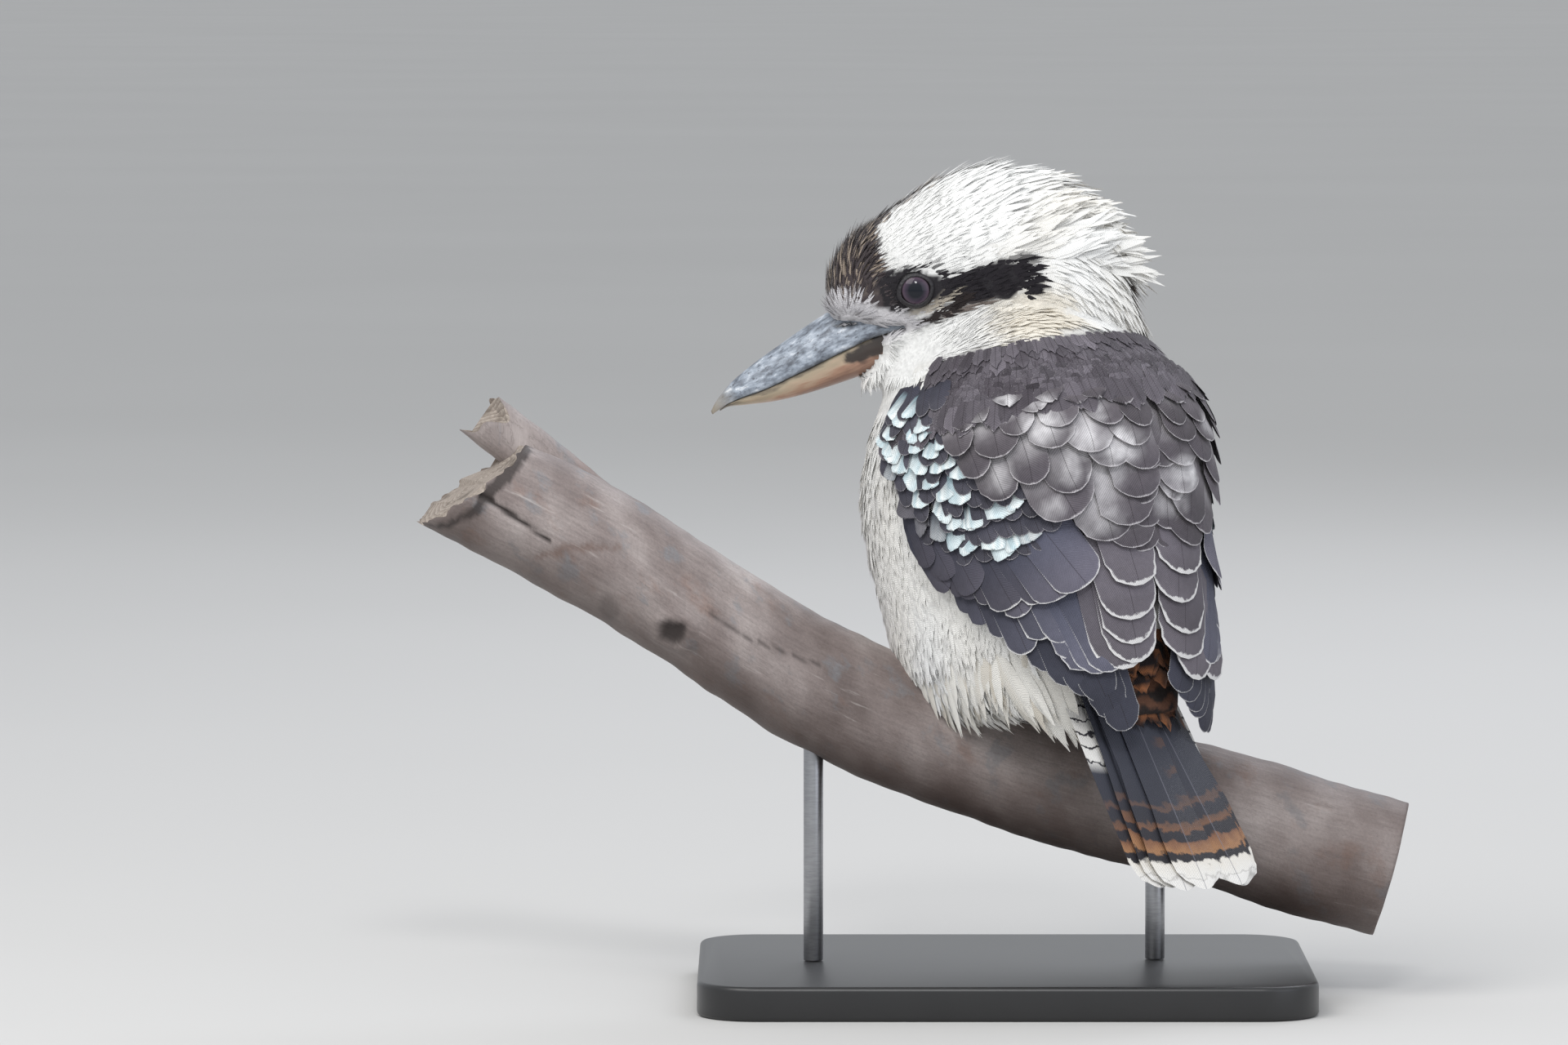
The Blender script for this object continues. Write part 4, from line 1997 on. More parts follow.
RIGHT_ROOTS: dict[str, tuple[Place, Place]] = {"primaries": ((54, 2), (44, 12))}
COVERT_BEDS = (
    (62, 86, 46),
    (69, 88, 46),
    (76, 90, 50),
    (83, 93, 55),
    (90, 95, 62),
    (97, 98, 68),
    (104, 100, 73),
    (111, 102, 77),
    (118, 102, 80),
    (124, 102, 84),
)
BLUE_TIPS = (
    (117, 102, 3.0, 1.0),
    (126, 98, 4.5, 1.0),
    (122, 95, 4.5, 0.9),
    (124, 90, 3.0, 0.8),
    (118, 98, 4.0, 1.0),
    (112, 99, 3.5, 0.9),
    (110, 96, 5.0, 0.9),
    (118, 87, 4.5, 1.0),
    (115, 90, 3.5, 0.9),
    (110, 89, 6.0, 1.0),
    (113, 84, 4.0, 1.0),
    (103, 100, 3.2, 0.4),
    (104, 94, 4.5, 0.9),
    (97, 92, 5.5, 0.7),
    (102, 88, 5.5, 1.0),
    (106, 84, 4.0, 1.0),
    (108, 79, 3.6, 1.0),
    (100, 82, 4.5, 1.0),
    (100, 78, 4.0, 0.9),
    (96, 74, 6.0, 1.0),
    (95, 84, 5.5, 0.95),
    (89, 89, 5.5, 0.8),
    (90, 80, 5.0, 1.0),
    (88, 76, 7.2, 1.0),
    (83, 83, 6.0, 1.0),
    (78, 80, 4.6, 0.95),
    (76, 76, 5.0, 1.0),
    (76, 72, 5.5, 1.0),
    (86, 95, 6.5, 0.12),
    (80, 90, 5.0, 0.25),
    (74, 87, 6.0, 0.4),
    (70, 80, 6.0, 0.8),
    (66, 75, 7.0, 1.0),
    (78, 61, 8.5, 1.0),
    (80, 54, 4.5, 0.9),
    (65, 66, 7.0, 1.0),
    (63, 61, 7.0, 1.0),
    (64, 56, 5.2, 0.85),
    (66, 50, 6.0, 0.5),
)
BLUE, BLUE_WHITE, GREY_TIP = tone("a9c6d0"), tone("f4fbfb"), tone("827f85")


@dataclass
class Wing:
    """A folded wing: flight feathers, coverts and scapulars in overlapping rows."""

    side: Side
    finish: bpy.types.Material
    flight_finish: bpy.types.Material
    looseness: float = 0.7

    @property
    def word(self) -> str:
        """The side's name for pieces."""
        return self.side.name.lower()

    def lay(self, look: Plumage, tips: Array, roots: Array, width: Array, lift: Array, seed: int) -> Feathers:
        """Places feathers on the wing's bed.

        Args:
            look: Their plumage.
            tips: Distance up the spine and degrees of each tip.
            roots: The same for each root.
            width: Their widths.
            lift: How far their tips stand off the wing's flesh.
            seed: Draws their irregular places.

        Returns:
            The feathers, not yet coloured.
        """
        draw = np.random.default_rng(seed)
        count = len(tips)
        tips = tips + draw.normal(size=(count, 2)) * self.looseness
        roots = roots + draw.normal(size=(count, 2)) * self.looseness
        t = look.form.shares[None, :]
        bow = draw.normal(size=(count, 1)) * 0.8 * np.sin(math.pi * t)
        along = roots[:, :1] * (1 - t) + tips[:, :1] * t
        degrees = roots[:, 1:] * (1 - t) + tips[:, 1:] * t + bow
        core = np.where(along > 28, wing_depth(along, degrees), read(WING_DEPTH, along, 1))
        height = core - look.sink + (lift[:, None] + look.sink) * t
        angle = np.radians(degrees) * self.side.value + parting(along)
        centres, normals = on_body(WING_BED, along, angle, height)
        feathers = Feathers(
            look.form, centres, normals, width * (1 + 0.04 * draw.normal(size=count)), seed + 1
        )
        feathers.tilt(look.tilt * self.side.value)
        column = np.arange(count)
        feathers.patch = np.stack([(column + 0.5) / count, np.full(count, 0.5)], axis=1)
        feathers.patch_size = (0.86 / count, 0.9)
        return feathers

    def paint(self, look: Plumage, feathers: Feathers, seed: int) -> None:
        """Colours feathers from base to tip, with white roots and pale fringes.

        Args:
            look: Their plumage.
            feathers: The feathers.
            seed: The draws' seed.
        """
        draw = np.random.default_rng(seed)
        n, t = feathers.count, feathers.form.shares[None, :, None]
        flat = 0 * feathers.u + np.zeros((n, 1, 1))
        shade = 1 + 0.09 * draw.normal(size=(n, 1, 1, 1))
        colour = blend(tone(look.base), tone(look.middle), ease(0.1, 0.5, t) + flat)
        colour = blend(colour, tone(look.tip), ease(0.55, 0.9, t) + flat) * shade
        mottle = waves(feathers.centres, 9, seed)[:, :, None, None]
        colour = colour * (1 + 0.12 * mottle) * (1 - 0.12 * feathers.u[:, None] * self.side.value)
        strength = look.pale_base * draw.random((n, 1, 1)) ** 0.8
        end = draw.uniform(0.6, 0.82, (n, 1, 1))
        white = strength * np.clip((end - t - 0.1 * np.abs(feathers.u)) / 0.3, 0, 1)
        feathers.colour = blend(colour, tone("e4e1e4"), white)
        if look.pale_base > 0:
            place = feathers.centres[:, :, None] + feathers.across[:, :, None] * feathers.offsets[..., None]
            along, degrees = body_place(place)
            wander = 1 + 0.5 * waves(place, 3.0, seed + 3)
            share = np.clip(frost(along, degrees) * wander, 0, 1) * (0.75 + 0.25 * feathers.streaks)
            feathers.colour = blend(feathers.colour, tone("eceaec"), share)
        thin, wide = look.fringe
        feathers.fringe = (thin + 0.4) * ease(0.45, 0.8, t) - 0.4 + (wide - thin) * ease(0.72, 0.97, t) + flat

    def show(self, name: str, feathers: Feathers, look: Plumage, *replaced: str) -> None:
        """Writes feathers as a piece."""
        finish = self.flight_finish if look.flight else self.finish
        dress(new_object(name, feathers.mesh(name), finish), "wing_plumage", *replaced)

    def rows(self) -> None:
        """The rows of flight feathers, greater coverts and scapulars."""
        for k, row in enumerate(ROWS):
            tips = np.array(row.tips, float)
            if self.side is Side.RIGHT:
                tips = np.array(RIGHT_TIPS.get(row.name, row.tips), float)
            share = np.linspace(0, 1, len(tips))
            steps = row.roots
            if self.side is Side.RIGHT:
                steps = RIGHT_ROOTS.get(row.name, steps)
            first, last = (np.array(step, float) for step in steps)
            roots = tips + first * (1 - share)[:, None] + last * share[:, None]
            width = row.width[0] + (row.width[1] - row.width[0]) * share
            lift = row.lift[0] + (row.lift[1] - row.lift[0]) * share
            seed = SEED + 60 + 4 * k + (80 if self.side is Side.RIGHT else 0)
            feathers = self.lay(row.look, tips, roots, width, lift, seed)
            self.paint(row.look, feathers, seed + 2)
            if row.look in (GREATER, SECONDARY):
                inner = ease(66, 30, tips[:, 1])
                feathers.colour = feathers.colour * (1 + 0.9 * inner)[:, None, None, None]
                plain = ease(60, 84, tips[:, 1])[:, None, None]
                feathers.fringe = feathers.fringe * (1 - plain) - 0.4 * plain
            replaced = (f"wing_{self.word}",) if k == 0 else ()
            self.show(f"wing_{self.word}_{row.name}", feathers, row.look, *replaced)

    def beds(self) -> None:
        """Plain dark coverts that lie under and between the blue-tipped ones."""
        tips = []
        for k, (along, outer, inner) in enumerate(COVERT_BEDS):
            count = max(3, round((outer - inner) / 6.2))
            for i in range(count + 1):
                tips.append((along, outer - 1 - (outer - inner) * (i + 0.5 * (k % 2)) / count))
        tips = np.array(tips, float)
        roots = tips + np.array([16.0, 2.0])
        seed = SEED + 240 + self.side.value
        count = len(tips)
        feathers = self.lay(PLAIN_COVERT, tips, roots, np.full(count, 9.5), np.full(count, 2.3), seed)
        self.paint(PLAIN_COVERT, feathers, seed + 1)
        self.show(f"wing_{self.word}_covert_bed", feathers, PLAIN_COVERT)

    def blue(self) -> None:
        """Coverts tipped with pale shining blue, each spot parted from the next by dark."""
        tips = np.array([tip[:2] for tip in BLUE_TIPS], float)
        spot = np.array([tip[2] for tip in BLUE_TIPS])
        strength = np.array([tip[3] for tip in BLUE_TIPS])
        lean = 4 * ease(78, 60, tips[:, 1]) - 4 * ease(84, 98, tips[:, 1])
        length = 12.5 + 0.9 * (spot - 5)
        roots = tips + np.stack([length, lean], axis=1)
        seed = SEED + 250 + self.side.value
        look = Plumage(BLUE_COVERT, "3b3b46", "47464f", "47464f", (-0.9, -0.9), tilt=0.03)
        feathers = self.lay(look, tips, roots, spot + 3.6, np.full(len(tips), 3.1), seed)
        self.paint(look, feathers, seed + 1)
        draw = np.random.default_rng(seed + 2)
        t = feathers.form.shares[None, :, None]
        streaks = feathers.streaks
        start = draw.uniform(0.16, 0.3, (len(tips), 1, 1)) + 0.06 * streaks
        mask = np.clip((t - start) / 0.2, 0, 1) * ease(1.4, 0.8, np.abs(feathers.u))
        mask = mask * np.clip(0.35 + strength * 1.2, 0, 1)[:, None, None]
        middle = np.clip(-0.1 + 0.8 * ease(0.35, 0.95, t) + 0.4 * streaks, 0, 1)
        tint = blend(BLUE, BLUE_WHITE, middle + np.zeros((len(tips), 1, 1)))
        tint = blend(GREY_TIP, tint, ease(0.15, 0.75, strength)[:, None, None] + 0 * mask)
        feathers.colour = blend(feathers.colour, tint, mask)
        self.show(f"wing_{self.word}_blue_coverts", feathers, look)

    def build(self) -> None:
        """Lays all feathers."""
        self.rows()
        self.beds()
        self.blue()


@dataclass(frozen=True)
class TailFinish:
    """Dry grown tail feathers: navy-black, barred with rufous towards a buff, black and white tip."""

    name: str = "barred_tail_feather"

    def make(self) -> bpy.types.Material:
        """Builds the material from each feather's distance to its tip and its place in the fan."""
        material, tree = new_material(self.name)
        values = {}
        for name in ("to_tip", "outer", "edge", "quill", "barb"):
            values[name] = add_node(tree, "ShaderNodeAttribute", {"attribute_name": name}).outputs["Fac"]
        ragged = maths(tree, "MULTIPLY_ADD", noise(tree, 5.0, 4.0), 9.0, -4.5)
        place = maths(tree, "ADD", values["to_tip"], ragged)
        bands = add_node(
            tree,
            "ShaderNodeValToRGB",
            {
                "stops": [
                    (0.0, "eceae6"),
                    (0.057, "eceae6"),
                    (0.065, "c4c1bd"),
                    (0.073, "eae8e3"),
                    (0.144, "e6e1d8"),
                    (0.156, "1d1b22"),
                    (0.2, "1f1d24"),
                    (0.213, "a0744f"),
                    (0.281, "7c553d"),
                    (0.294, "24222a"),
                    (0.344, "26252d"),
                    (0.356, "73503b"),
                    (0.388, "63493c"),
                    (0.4, "2a2a33"),
                    (0.469, "2d2e38"),
                    (0.481, "5d473f"),
                    (0.5, "54433f"),
                    (0.513, "2f313c"),
                    (1.0, "3a3d4a"),
                ]
            },
            {0: maths(tree, "DIVIDE", place, 80.0, clamp=True)},
        ).outputs[0]
        wide = maths(tree, "SINE", maths(tree, "MULTIPLY", place, 2 * math.pi / 13))
        patches = maths(
            tree, "MULTIPLY", maths(tree, "MULTIPLY_ADD", wide, 3.0, -1.4, clamp=True), values["edge"]
        )
        inward = maths(tree, "MULTIPLY_ADD", values["to_tip"], 0.2, -7.0, clamp=True)
        patches = maths(tree, "MULTIPLY", patches, inward)
        plain = mixed(tree, maths(tree, "MULTIPLY", patches, 0.7), bands, linear("80593f"))
        narrow = maths(tree, "SINE", maths(tree, "MULTIPLY", place, 2 * math.pi / 6.4))
        bars = maths(tree, "MULTIPLY_ADD", narrow, 4.0, -2.8, clamp=True)
        side = mixed(tree, bars, linear("e9e7e3"), linear("24222a"))
        upper = maths(tree, "MULTIPLY_ADD", values["to_tip"], 0.16, -8.6, clamp=True)
        edge_web = maths(tree, "SUBTRACT", values["outer"], 1.0, clamp=True)
        web = maths(tree, "MAXIMUM", maths(tree, "MULTIPLY", upper, values["outer"], clamp=True), edge_web)
        colour = mixed(tree, web, plain, side)
        phase = maths(tree, "MULTIPLY", values["barb"], 2 * math.pi / 0.9)
        wave = maths(tree, "MULTIPLY_ADD", maths(tree, "SINE", phase), 0.5, 0.5)
        colour = mixed(tree, 1.0, colour, maths(tree, "MULTIPLY_ADD", wave, 0.16, 0.86), "MULTIPLY")
        line = maths(tree, "ABSOLUTE", values["quill"])
        on_quill = maths(tree, "SUBTRACT", 1.0, maths(tree, "DIVIDE", line, 0.42), clamp=True)
        colour = mixed(tree, maths(tree, "MULTIPLY", on_quill, 0.7), colour, linear("72727d"))
        finish_surface(tree, colour, wave, 0.1, {"Roughness": 0.62, "Sheen Weight": 0.08})
        return material


@dataclass
class Tail:
    """Twelve tail feathers in a narrow fan, swung a little left, with barred coverts over their roots."""

    covert_finish: bpy.types.Material
    root: float = 66.0
    length: float = 160.0
    width: float = 26.5
    step: float = 0.4
    droop: float = 0.0042
    roots: tuple[float, ...] = (-5, -13, -13.2, -13.4, -18, -27, 6.5, 9, 11, 12.5, 14, 17)
    tips: tuple[float, ...] = (-9, -19, -19.2, -19.4, -23.6, -28, 12.7, 14.4, 15.5, 16.6, 17.7, 18.8)

    def feathers(self) -> None:
        """The fan: the middle pair lies on top."""
        draw = np.random.default_rng(SEED + 130)
        side = np.repeat([-1.0, 1.0], 6)
        i = np.tile(np.arange(6.0), 2)
        share = (i + 0.2) / 5.2
        left = side < 0
        start, end = np.array(self.roots), np.array(self.tips)
        length = self.length - 4 * share**2 - np.where(left, 1.4 * share, 0) + draw.normal(size=12) * 0.6
        t = TAIL_FEATHER.shares[None, :]
        across = start[:, None] * (1 - t) + end[:, None] * t
        along = self.root * (1 - t) + length[:, None] * t
        level = -self.step * (i + np.where(left, 0, 0.5))[:, None] - self.droop * across**2
        centres = tail_point(along, across, level)
        normals = np.broadcast_to(TAIL_UP, centres.shape).copy()
        fan = Feathers(TAIL_FEATHER, centres, normals, self.width - 2.5 * share, SEED + 131)
        fan.patch = np.stack([(np.arange(12) + 0.5) / 12, np.full(12, 0.5)], axis=1)
        fan.patch_size = (0.9 / 12, 0.94)
        mesh = fan.mesh("tail_feathers")
        n, r, c = fan.count, fan.rows, TAIL_FEATHER.columns
        to_tip = (1 - TAIL_FEATHER.shares)[None, :, None] * fan.lengths[:, None, None] + 0 * fan.offset
        to_tip = to_tip - fan.slide - TAIL_FEATHER.round * fan.widths[:, None, None] * fan.u**2 * 0.6
        to_tip = to_tip + draw.uniform(-2.6, 2.6, (n, 1, 1)) * ease(11, 20, to_tip)
        outer = (
            (i == 5)[:, None, None]
            * (1 + ease(0.6, 0.95, fan.u * side[:, None, None]))
            * np.ones((n, r, c))
        )
        edge = (
            ease(0.2, 0.9, fan.u * side[:, None, None])
            * np.array([0.5, 0.3, 0.2, 0.6, 1, 1] * 2)[:, None, None]
        )
        for name, values in (("to_tip", to_tip), ("outer", outer), ("edge", edge * np.ones((n, r, c)))):
            flat = values.reshape(n, r * c)
            lower = values[:, 1:-1, 1:-1].reshape(n, -1)
            put(mesh, name, "FLOAT", np.concatenate([flat, lower], axis=1).reshape(-1))
        dress(new_object("tail_feathers", mesh, TailFinish().make()), "tail_plumage", "tail")

    def coverts(self) -> None:
        """Rufous feathers barred with black over the tail's root."""
        draw = np.random.default_rng(SEED + 132)
        places = []
        for row, (distance, count) in enumerate(
            ((32, 7), (38, 8), (44, 7), (50, 8), (56, 7), (62, 8), (68, 7), (74, 8))
        ):
            for k in range(count):
                side = (k - (count - 1) / 2) * 4.8 + draw.normal() * 0.7
                places.append((distance + draw.normal() * 1.2, side, row))
        distance, side, row = np.array(places).T
        bed = np.where(distance < 64, read(RUMP, distance, 2), read(TAIL_BED, distance, 2))
        flat = ease(46, 60, distance)
        top = bed * np.sqrt(np.clip(1 - (side / (read(RUMP, distance, 1) + 3)) ** 2, 0.02, 1))
        roots = tail_point(distance, side, top - 0.4)
        dive = (0.25 * (1 - flat) + 0.04)[:, None]
        normals = unit(TAIL_UP[None] + RIGHT[None] * (side / 26)[:, None] + TAIL_WAY[None] * dive)
        way = TAIL_WAY[None] + RIGHT[None] * (side * 0.006)[:, None] - TAIL_UP[None] * dive
        length = (21 - 5 * flat) * (1 + 0.07 * draw.normal(size=len(side)))
        coat = tufts(MANTLE_FEATHER, roots, normals, way, length, 9, 0.14, 0.1, SEED + 133)
        place = (
            coat.centres[:, :, None]
            + coat.across[:, :, None] * (coat.half[:, :, None] * coat.u)[..., None]
        )
        along = (place - TAIL_ROOT) @ TAIL_WAY
        bars = np.sin(
            along * 2 * math.pi / 6.2 + 1.5 * np.abs(coat.u) + draw.normal(size=(len(side), 1, 1)) * 0.5
        )
        warm = blend(tone("69442f"), tone("935f3e"), draw.random((len(side), 1, 1)) * np.ones_like(bars))
        coat.colour = blend(warm, tone("231d1e"), ease(-0.35, 0.35, bars))
        coat.patch = np.stack([(side + 30) / 60, (distance - 30) / 60], axis=1)
        coat.patch_size = (0.05, 0.1)
        dress(new_object("tail_coverts", coat.mesh("tail_coverts"), self.covert_finish), "tail_plumage")

    def build(self) -> None:
        """Builds the fan and its coverts."""
        self.feathers()
        self.coverts()


@dataclass
class Bill:
    """The heavy bill: two horn sheaths that meet along the mouth line, with a slit nostril each side."""

    rings: int = 110
    sides: int = 40
    root: float = 28.0
    nostril: tuple[tuple[float, float, float], ...] = ((61, 4.0, 0.35), (57, 3.1, 0.9), (53, 1.9, 0.5))

    def half(self, upper: bool) -> bpy.types.Mesh:
        """One mandible, with its own distances kept for its finish."""
        loft = Loft()
        last = 121.5 if upper else 118.0
        turn = np.linspace(-math.pi / 2, math.pi / 2, self.sides)
        for front in np.linspace(self.root, last, self.rings):
            culmen, mouth, half, gonys = (float(read(BILL, np.array([front]), k)[0]) for k in (1, 2, 3, 4))
            edge = mouth + 0.12 if upper else mouth - 0.12
            reach = culmen - edge if upper else min(gonys - edge, -0.2)
            wide = half if upper else half * 0.9
            side, up = oval(turn, np.full_like(turn, wide), np.full_like(turn, reach), 1.85)
            loft.ring(head_point(np.full_like(turn, front), edge + up, side))
        mesh = bmesh_to("bill_upper_horn" if upper else "bill_lower_horn", [loft.close()])
        points = verts_of(mesh)
        front, up, left = head_place(points)
        dent = 0.12 * (waves(points, 5, 301) + 0.6 * waves(points, 2.2, 302)) * ease(121, 112, front)
        dark = np.zeros(len(points))
        if upper:
            slit = ease(0.9, -0.3, stroke(front, up, self.nostril)) * (np.abs(left) > 4)
            dent, dark = dent - 1.6 * slit, slit
        else:
            stray = 0.8 * waves(points, 4, 303) + 0.5 * waves(points, 1.6, 304)
            dark = ease(1.0, -0.8, stroke(front, up, BILL_STAIN) + stray)
        dent = dent * ease(0.1, 1.5, np.abs(left))
        points = points + np.sign(left)[:, None] * HEAD_LEFT[None] * dent[:, None]
        mesh.vertices.foreach_set("co", (points * MM).astype(np.float32).ravel())
        mouth = read(BILL, front, 2)
        put(mesh, "bill", "FLOAT_VECTOR", np.stack([front, up - mouth, left], axis=1))
        put(mesh, "stain", "FLOAT", dark)
        return mesh

    def build(self) -> None:
        """Builds and dresses both halves."""
        upper = new_object("bill_upper_horn", self.half(True), UpperHornFinish().make())
        lower = new_object("bill_lower_horn", self.half(False), LowerHornFinish().make())
        dress(upper, "upper_bill", "bill_upper")
        dress(lower, "lower_bill", "bill_lower")


@dataclass
class Eye:
    """An eye in its lids."""

    side: Side
    lid_radius: float = 6.45
    lid_half: float = 0.85
    lid_thick: float = 0.62
    lid_out: float = 3.35
    corner: float = 0.08

    def ball(self, centre: Array, word: str) -> None:
        """The eyeball, flattened along its axis."""
        ball = bmesh.new()
        bmesh.ops.create_uvsphere(ball, u_segments=40, v_segments=24, radius=EYE_RADIUS * MM)
        for vert in ball.verts:
            vert.co = Vector((vert.co.x, vert.co.y * EYE_FLAT, vert.co.z)) + Vector(centre * MM)
        name = f"eye_{word}_ball"
        material = EyeFinish(f"wet_eye_{word}", tuple(float(v) for v in centre)).make()
        dress(new_object(name, bmesh_to(name, [ball]), material), "eyes", f"eye_{word}")

    def lids(self, centre: Array, word: str) -> None:
        """The ring of lids round the opening, drawn out a little to its corners."""
        ring = bmesh.new()
        made = bmesh.ops.create_circle(ring, cap_ends=False, segments=14, radius=1.0)
        for vert in made["verts"]:
            x, y = vert.co.x, vert.co.y
            vert.co = Vector((self.lid_radius + x * self.lid_half, y * self.lid_thick - 0.35 * x, 0)) * MM
        bmesh.ops.spin(
            ring,
            geom=ring.verts[:] + ring.edges[:],
            axis=(0, 1, 0),
            cent=(0, 0, 0),
            angle=2 * math.pi,
            steps=48,
            use_merge=True,
            use_duplicate=False,
        )
        for vert in ring.verts:
            turn = math.atan2(vert.co.z, vert.co.x) - BILL_DROP
            stretch = 1 + self.corner * abs(math.cos(turn)) ** 6 - 0.03 * abs(math.sin(turn))
            out = vert.co.y + self.lid_out * MM
            vert.co = Vector((vert.co.x * stretch, -self.side.value * out, vert.co.z * stretch))
            vert.co += Vector(centre * MM)
        bmesh.ops.remove_doubles(ring, verts=ring.verts, dist=1e-6)
        bmesh.ops.recalc_face_normals(ring, faces=ring.faces)
        name = f"eye_{word}_lids"
        dress(new_object(name, bmesh_to(name, [ring]), LidFinish().make()), "eyes")

    def build(self) -> None:
        """Builds the eyeball and its lids."""
        centre = head_point(EYE_FRONT, EYE_UP, EYE_LEFT * self.side.value)
        self.ball(centre, self.side.name.lower())
        self.lids(centre, self.side.name.lower())


def branch_middle(x: Array) -> Array:
    """The branch's middle line at a place along it."""
    return np.stack([x, 3 * np.sin(x / 60), read(BRANCH, x, 1)], axis=-1)


def branch_top(x: float, degrees: float, height: float) -> Array:
    """A point over the branch.

    Args:
        x: The place along the branch.
        degrees: Degrees from its top towards the far side.
        height: Millimetres off its bark.

    Returns:
        The point.
    """
    here = np.array([x])
    z = float(read(BRANCH, here, 1)[0])
    slope = math.atan(float(read(BRANCH, here + 3, 1)[0] - read(BRANCH, here - 3, 1)[0]) / 6)
    radius = float(read(BRANCH, here, 2)[0]) + 0.4 + height
    out = radius * math.cos(deg(degrees))
    y = 3 * math.sin(x / 60) + radius * math.sin(deg(degrees))
    return np.array([x - out * math.sin(slope), y, z + out * math.cos(slope)])


class Limb:
    """A bent limb of round rings along a smooth line."""

    def __init__(self, points: list[Array], radius: Any, sides: int = 14, steps: int = 24) -> None:
        """Samples the line.

        Args:
            points: The line's points.
            radius: A function of the share along the line.
            sides: Points round a ring.
            steps: Rings along the line.
        """
        knots = np.array(points)
        table = np.concatenate([np.arange(len(knots))[:, None], knots], axis=1)
        t = np.linspace(0, len(knots) - 1, steps)
        self.line = np.stack([read(table, t, k) for k in (1, 2, 3)], axis=1)
        self.radius = [radius(k / (steps - 1)) for k in range(steps)]
        self.sides = sides

    def build(self) -> bmesh.types.BMesh:
        """Lofts the limb."""
        loft = Loft()
        tangent = unit(np.gradient(self.line, axis=0))
        side = unit(np.cross(tangent, np.array([1.0, 0.13, 0.21])))
        up = np.cross(tangent, side)
        turn = np.linspace(0, 2 * math.pi, self.sides, endpoint=False)
        for centre, s, u, r in zip(self.line, side, up, self.radius):
            loft.ring(centre + r * (np.cos(turn)[:, None] * s + np.sin(turn)[:, None] * u))
        return loft.close()


@dataclass
class Leg:
    """A short shank and four toes that grip the branch, with claws."""

    side: Side
    x: float
    toes: tuple[tuple[float, float, float], ...] = (
        (-11, 64, 0.94), (-1, 76, 1.0), (8, 67, 0.94), (2, -34, 0.9)
    )
    toe_radius: float = 2.7
    shank_radius: float = 3.4

    def build(self) -> None:
        """Builds toes, shank and claws."""
        word = self.side.name.lower()
        parts, claws = [], []
        for shift, reach, thick in self.toes:
            line = []
            for t in (0, 0.33, 0.66, 1):
                bump = 1.2 if t == 0 else 0
                line.append(branch_top(self.x + shift * t, reach * t, self.toe_radius * thick + bump))
            pads = lambda t, w=thick: self.toe_radius * w * (1 - 0.22 * t + 0.05 * math.sin(18 * t))
            parts.append(Limb(line, pads).build())
            sign = math.copysign(1, reach)
            tip = [
                branch_top(self.x + shift, reach - 2 * sign, 1.9 * thick),
                branch_top(self.x + shift, reach + 4 * sign, 2.0 * thick),
                branch_top(self.x + shift, reach + 13 * sign, 0.7 * thick),
            ]
            claws.append(Limb(tip, lambda t, w=thick: (1.5 - 1.25 * t) * w, 10, 10).build())
        shank = [
            branch_top(self.x, 2, self.toe_radius),
            branch_top(self.x, 2, 9) + np.array([2, -2, 0]),
            branch_top(self.x, 2, 22) + np.array([6, -8, 0]),
        ]
        parts.append(Limb(shank, lambda t: self.shank_radius + 0.8 * t, 16, 14).build())
        mesh = bmesh_to(f"leg_{word}_skin", parts)
        points = verts_of(mesh)
        put(
            mesh, "reach", "FLOAT",
            np.hypot(points[:, 1], points[:, 2] - points[:, 2].max()) + points[:, 1]
        )
        dress(new_object(f"leg_{word}_skin", mesh, ScaleFinish().make()), "scaled_skin", f"leg_{word}")
        name = f"leg_{word}_claws"
        dress(new_object(name, bmesh_to(name, claws), ClawFinish().make()), "scaled_skin")


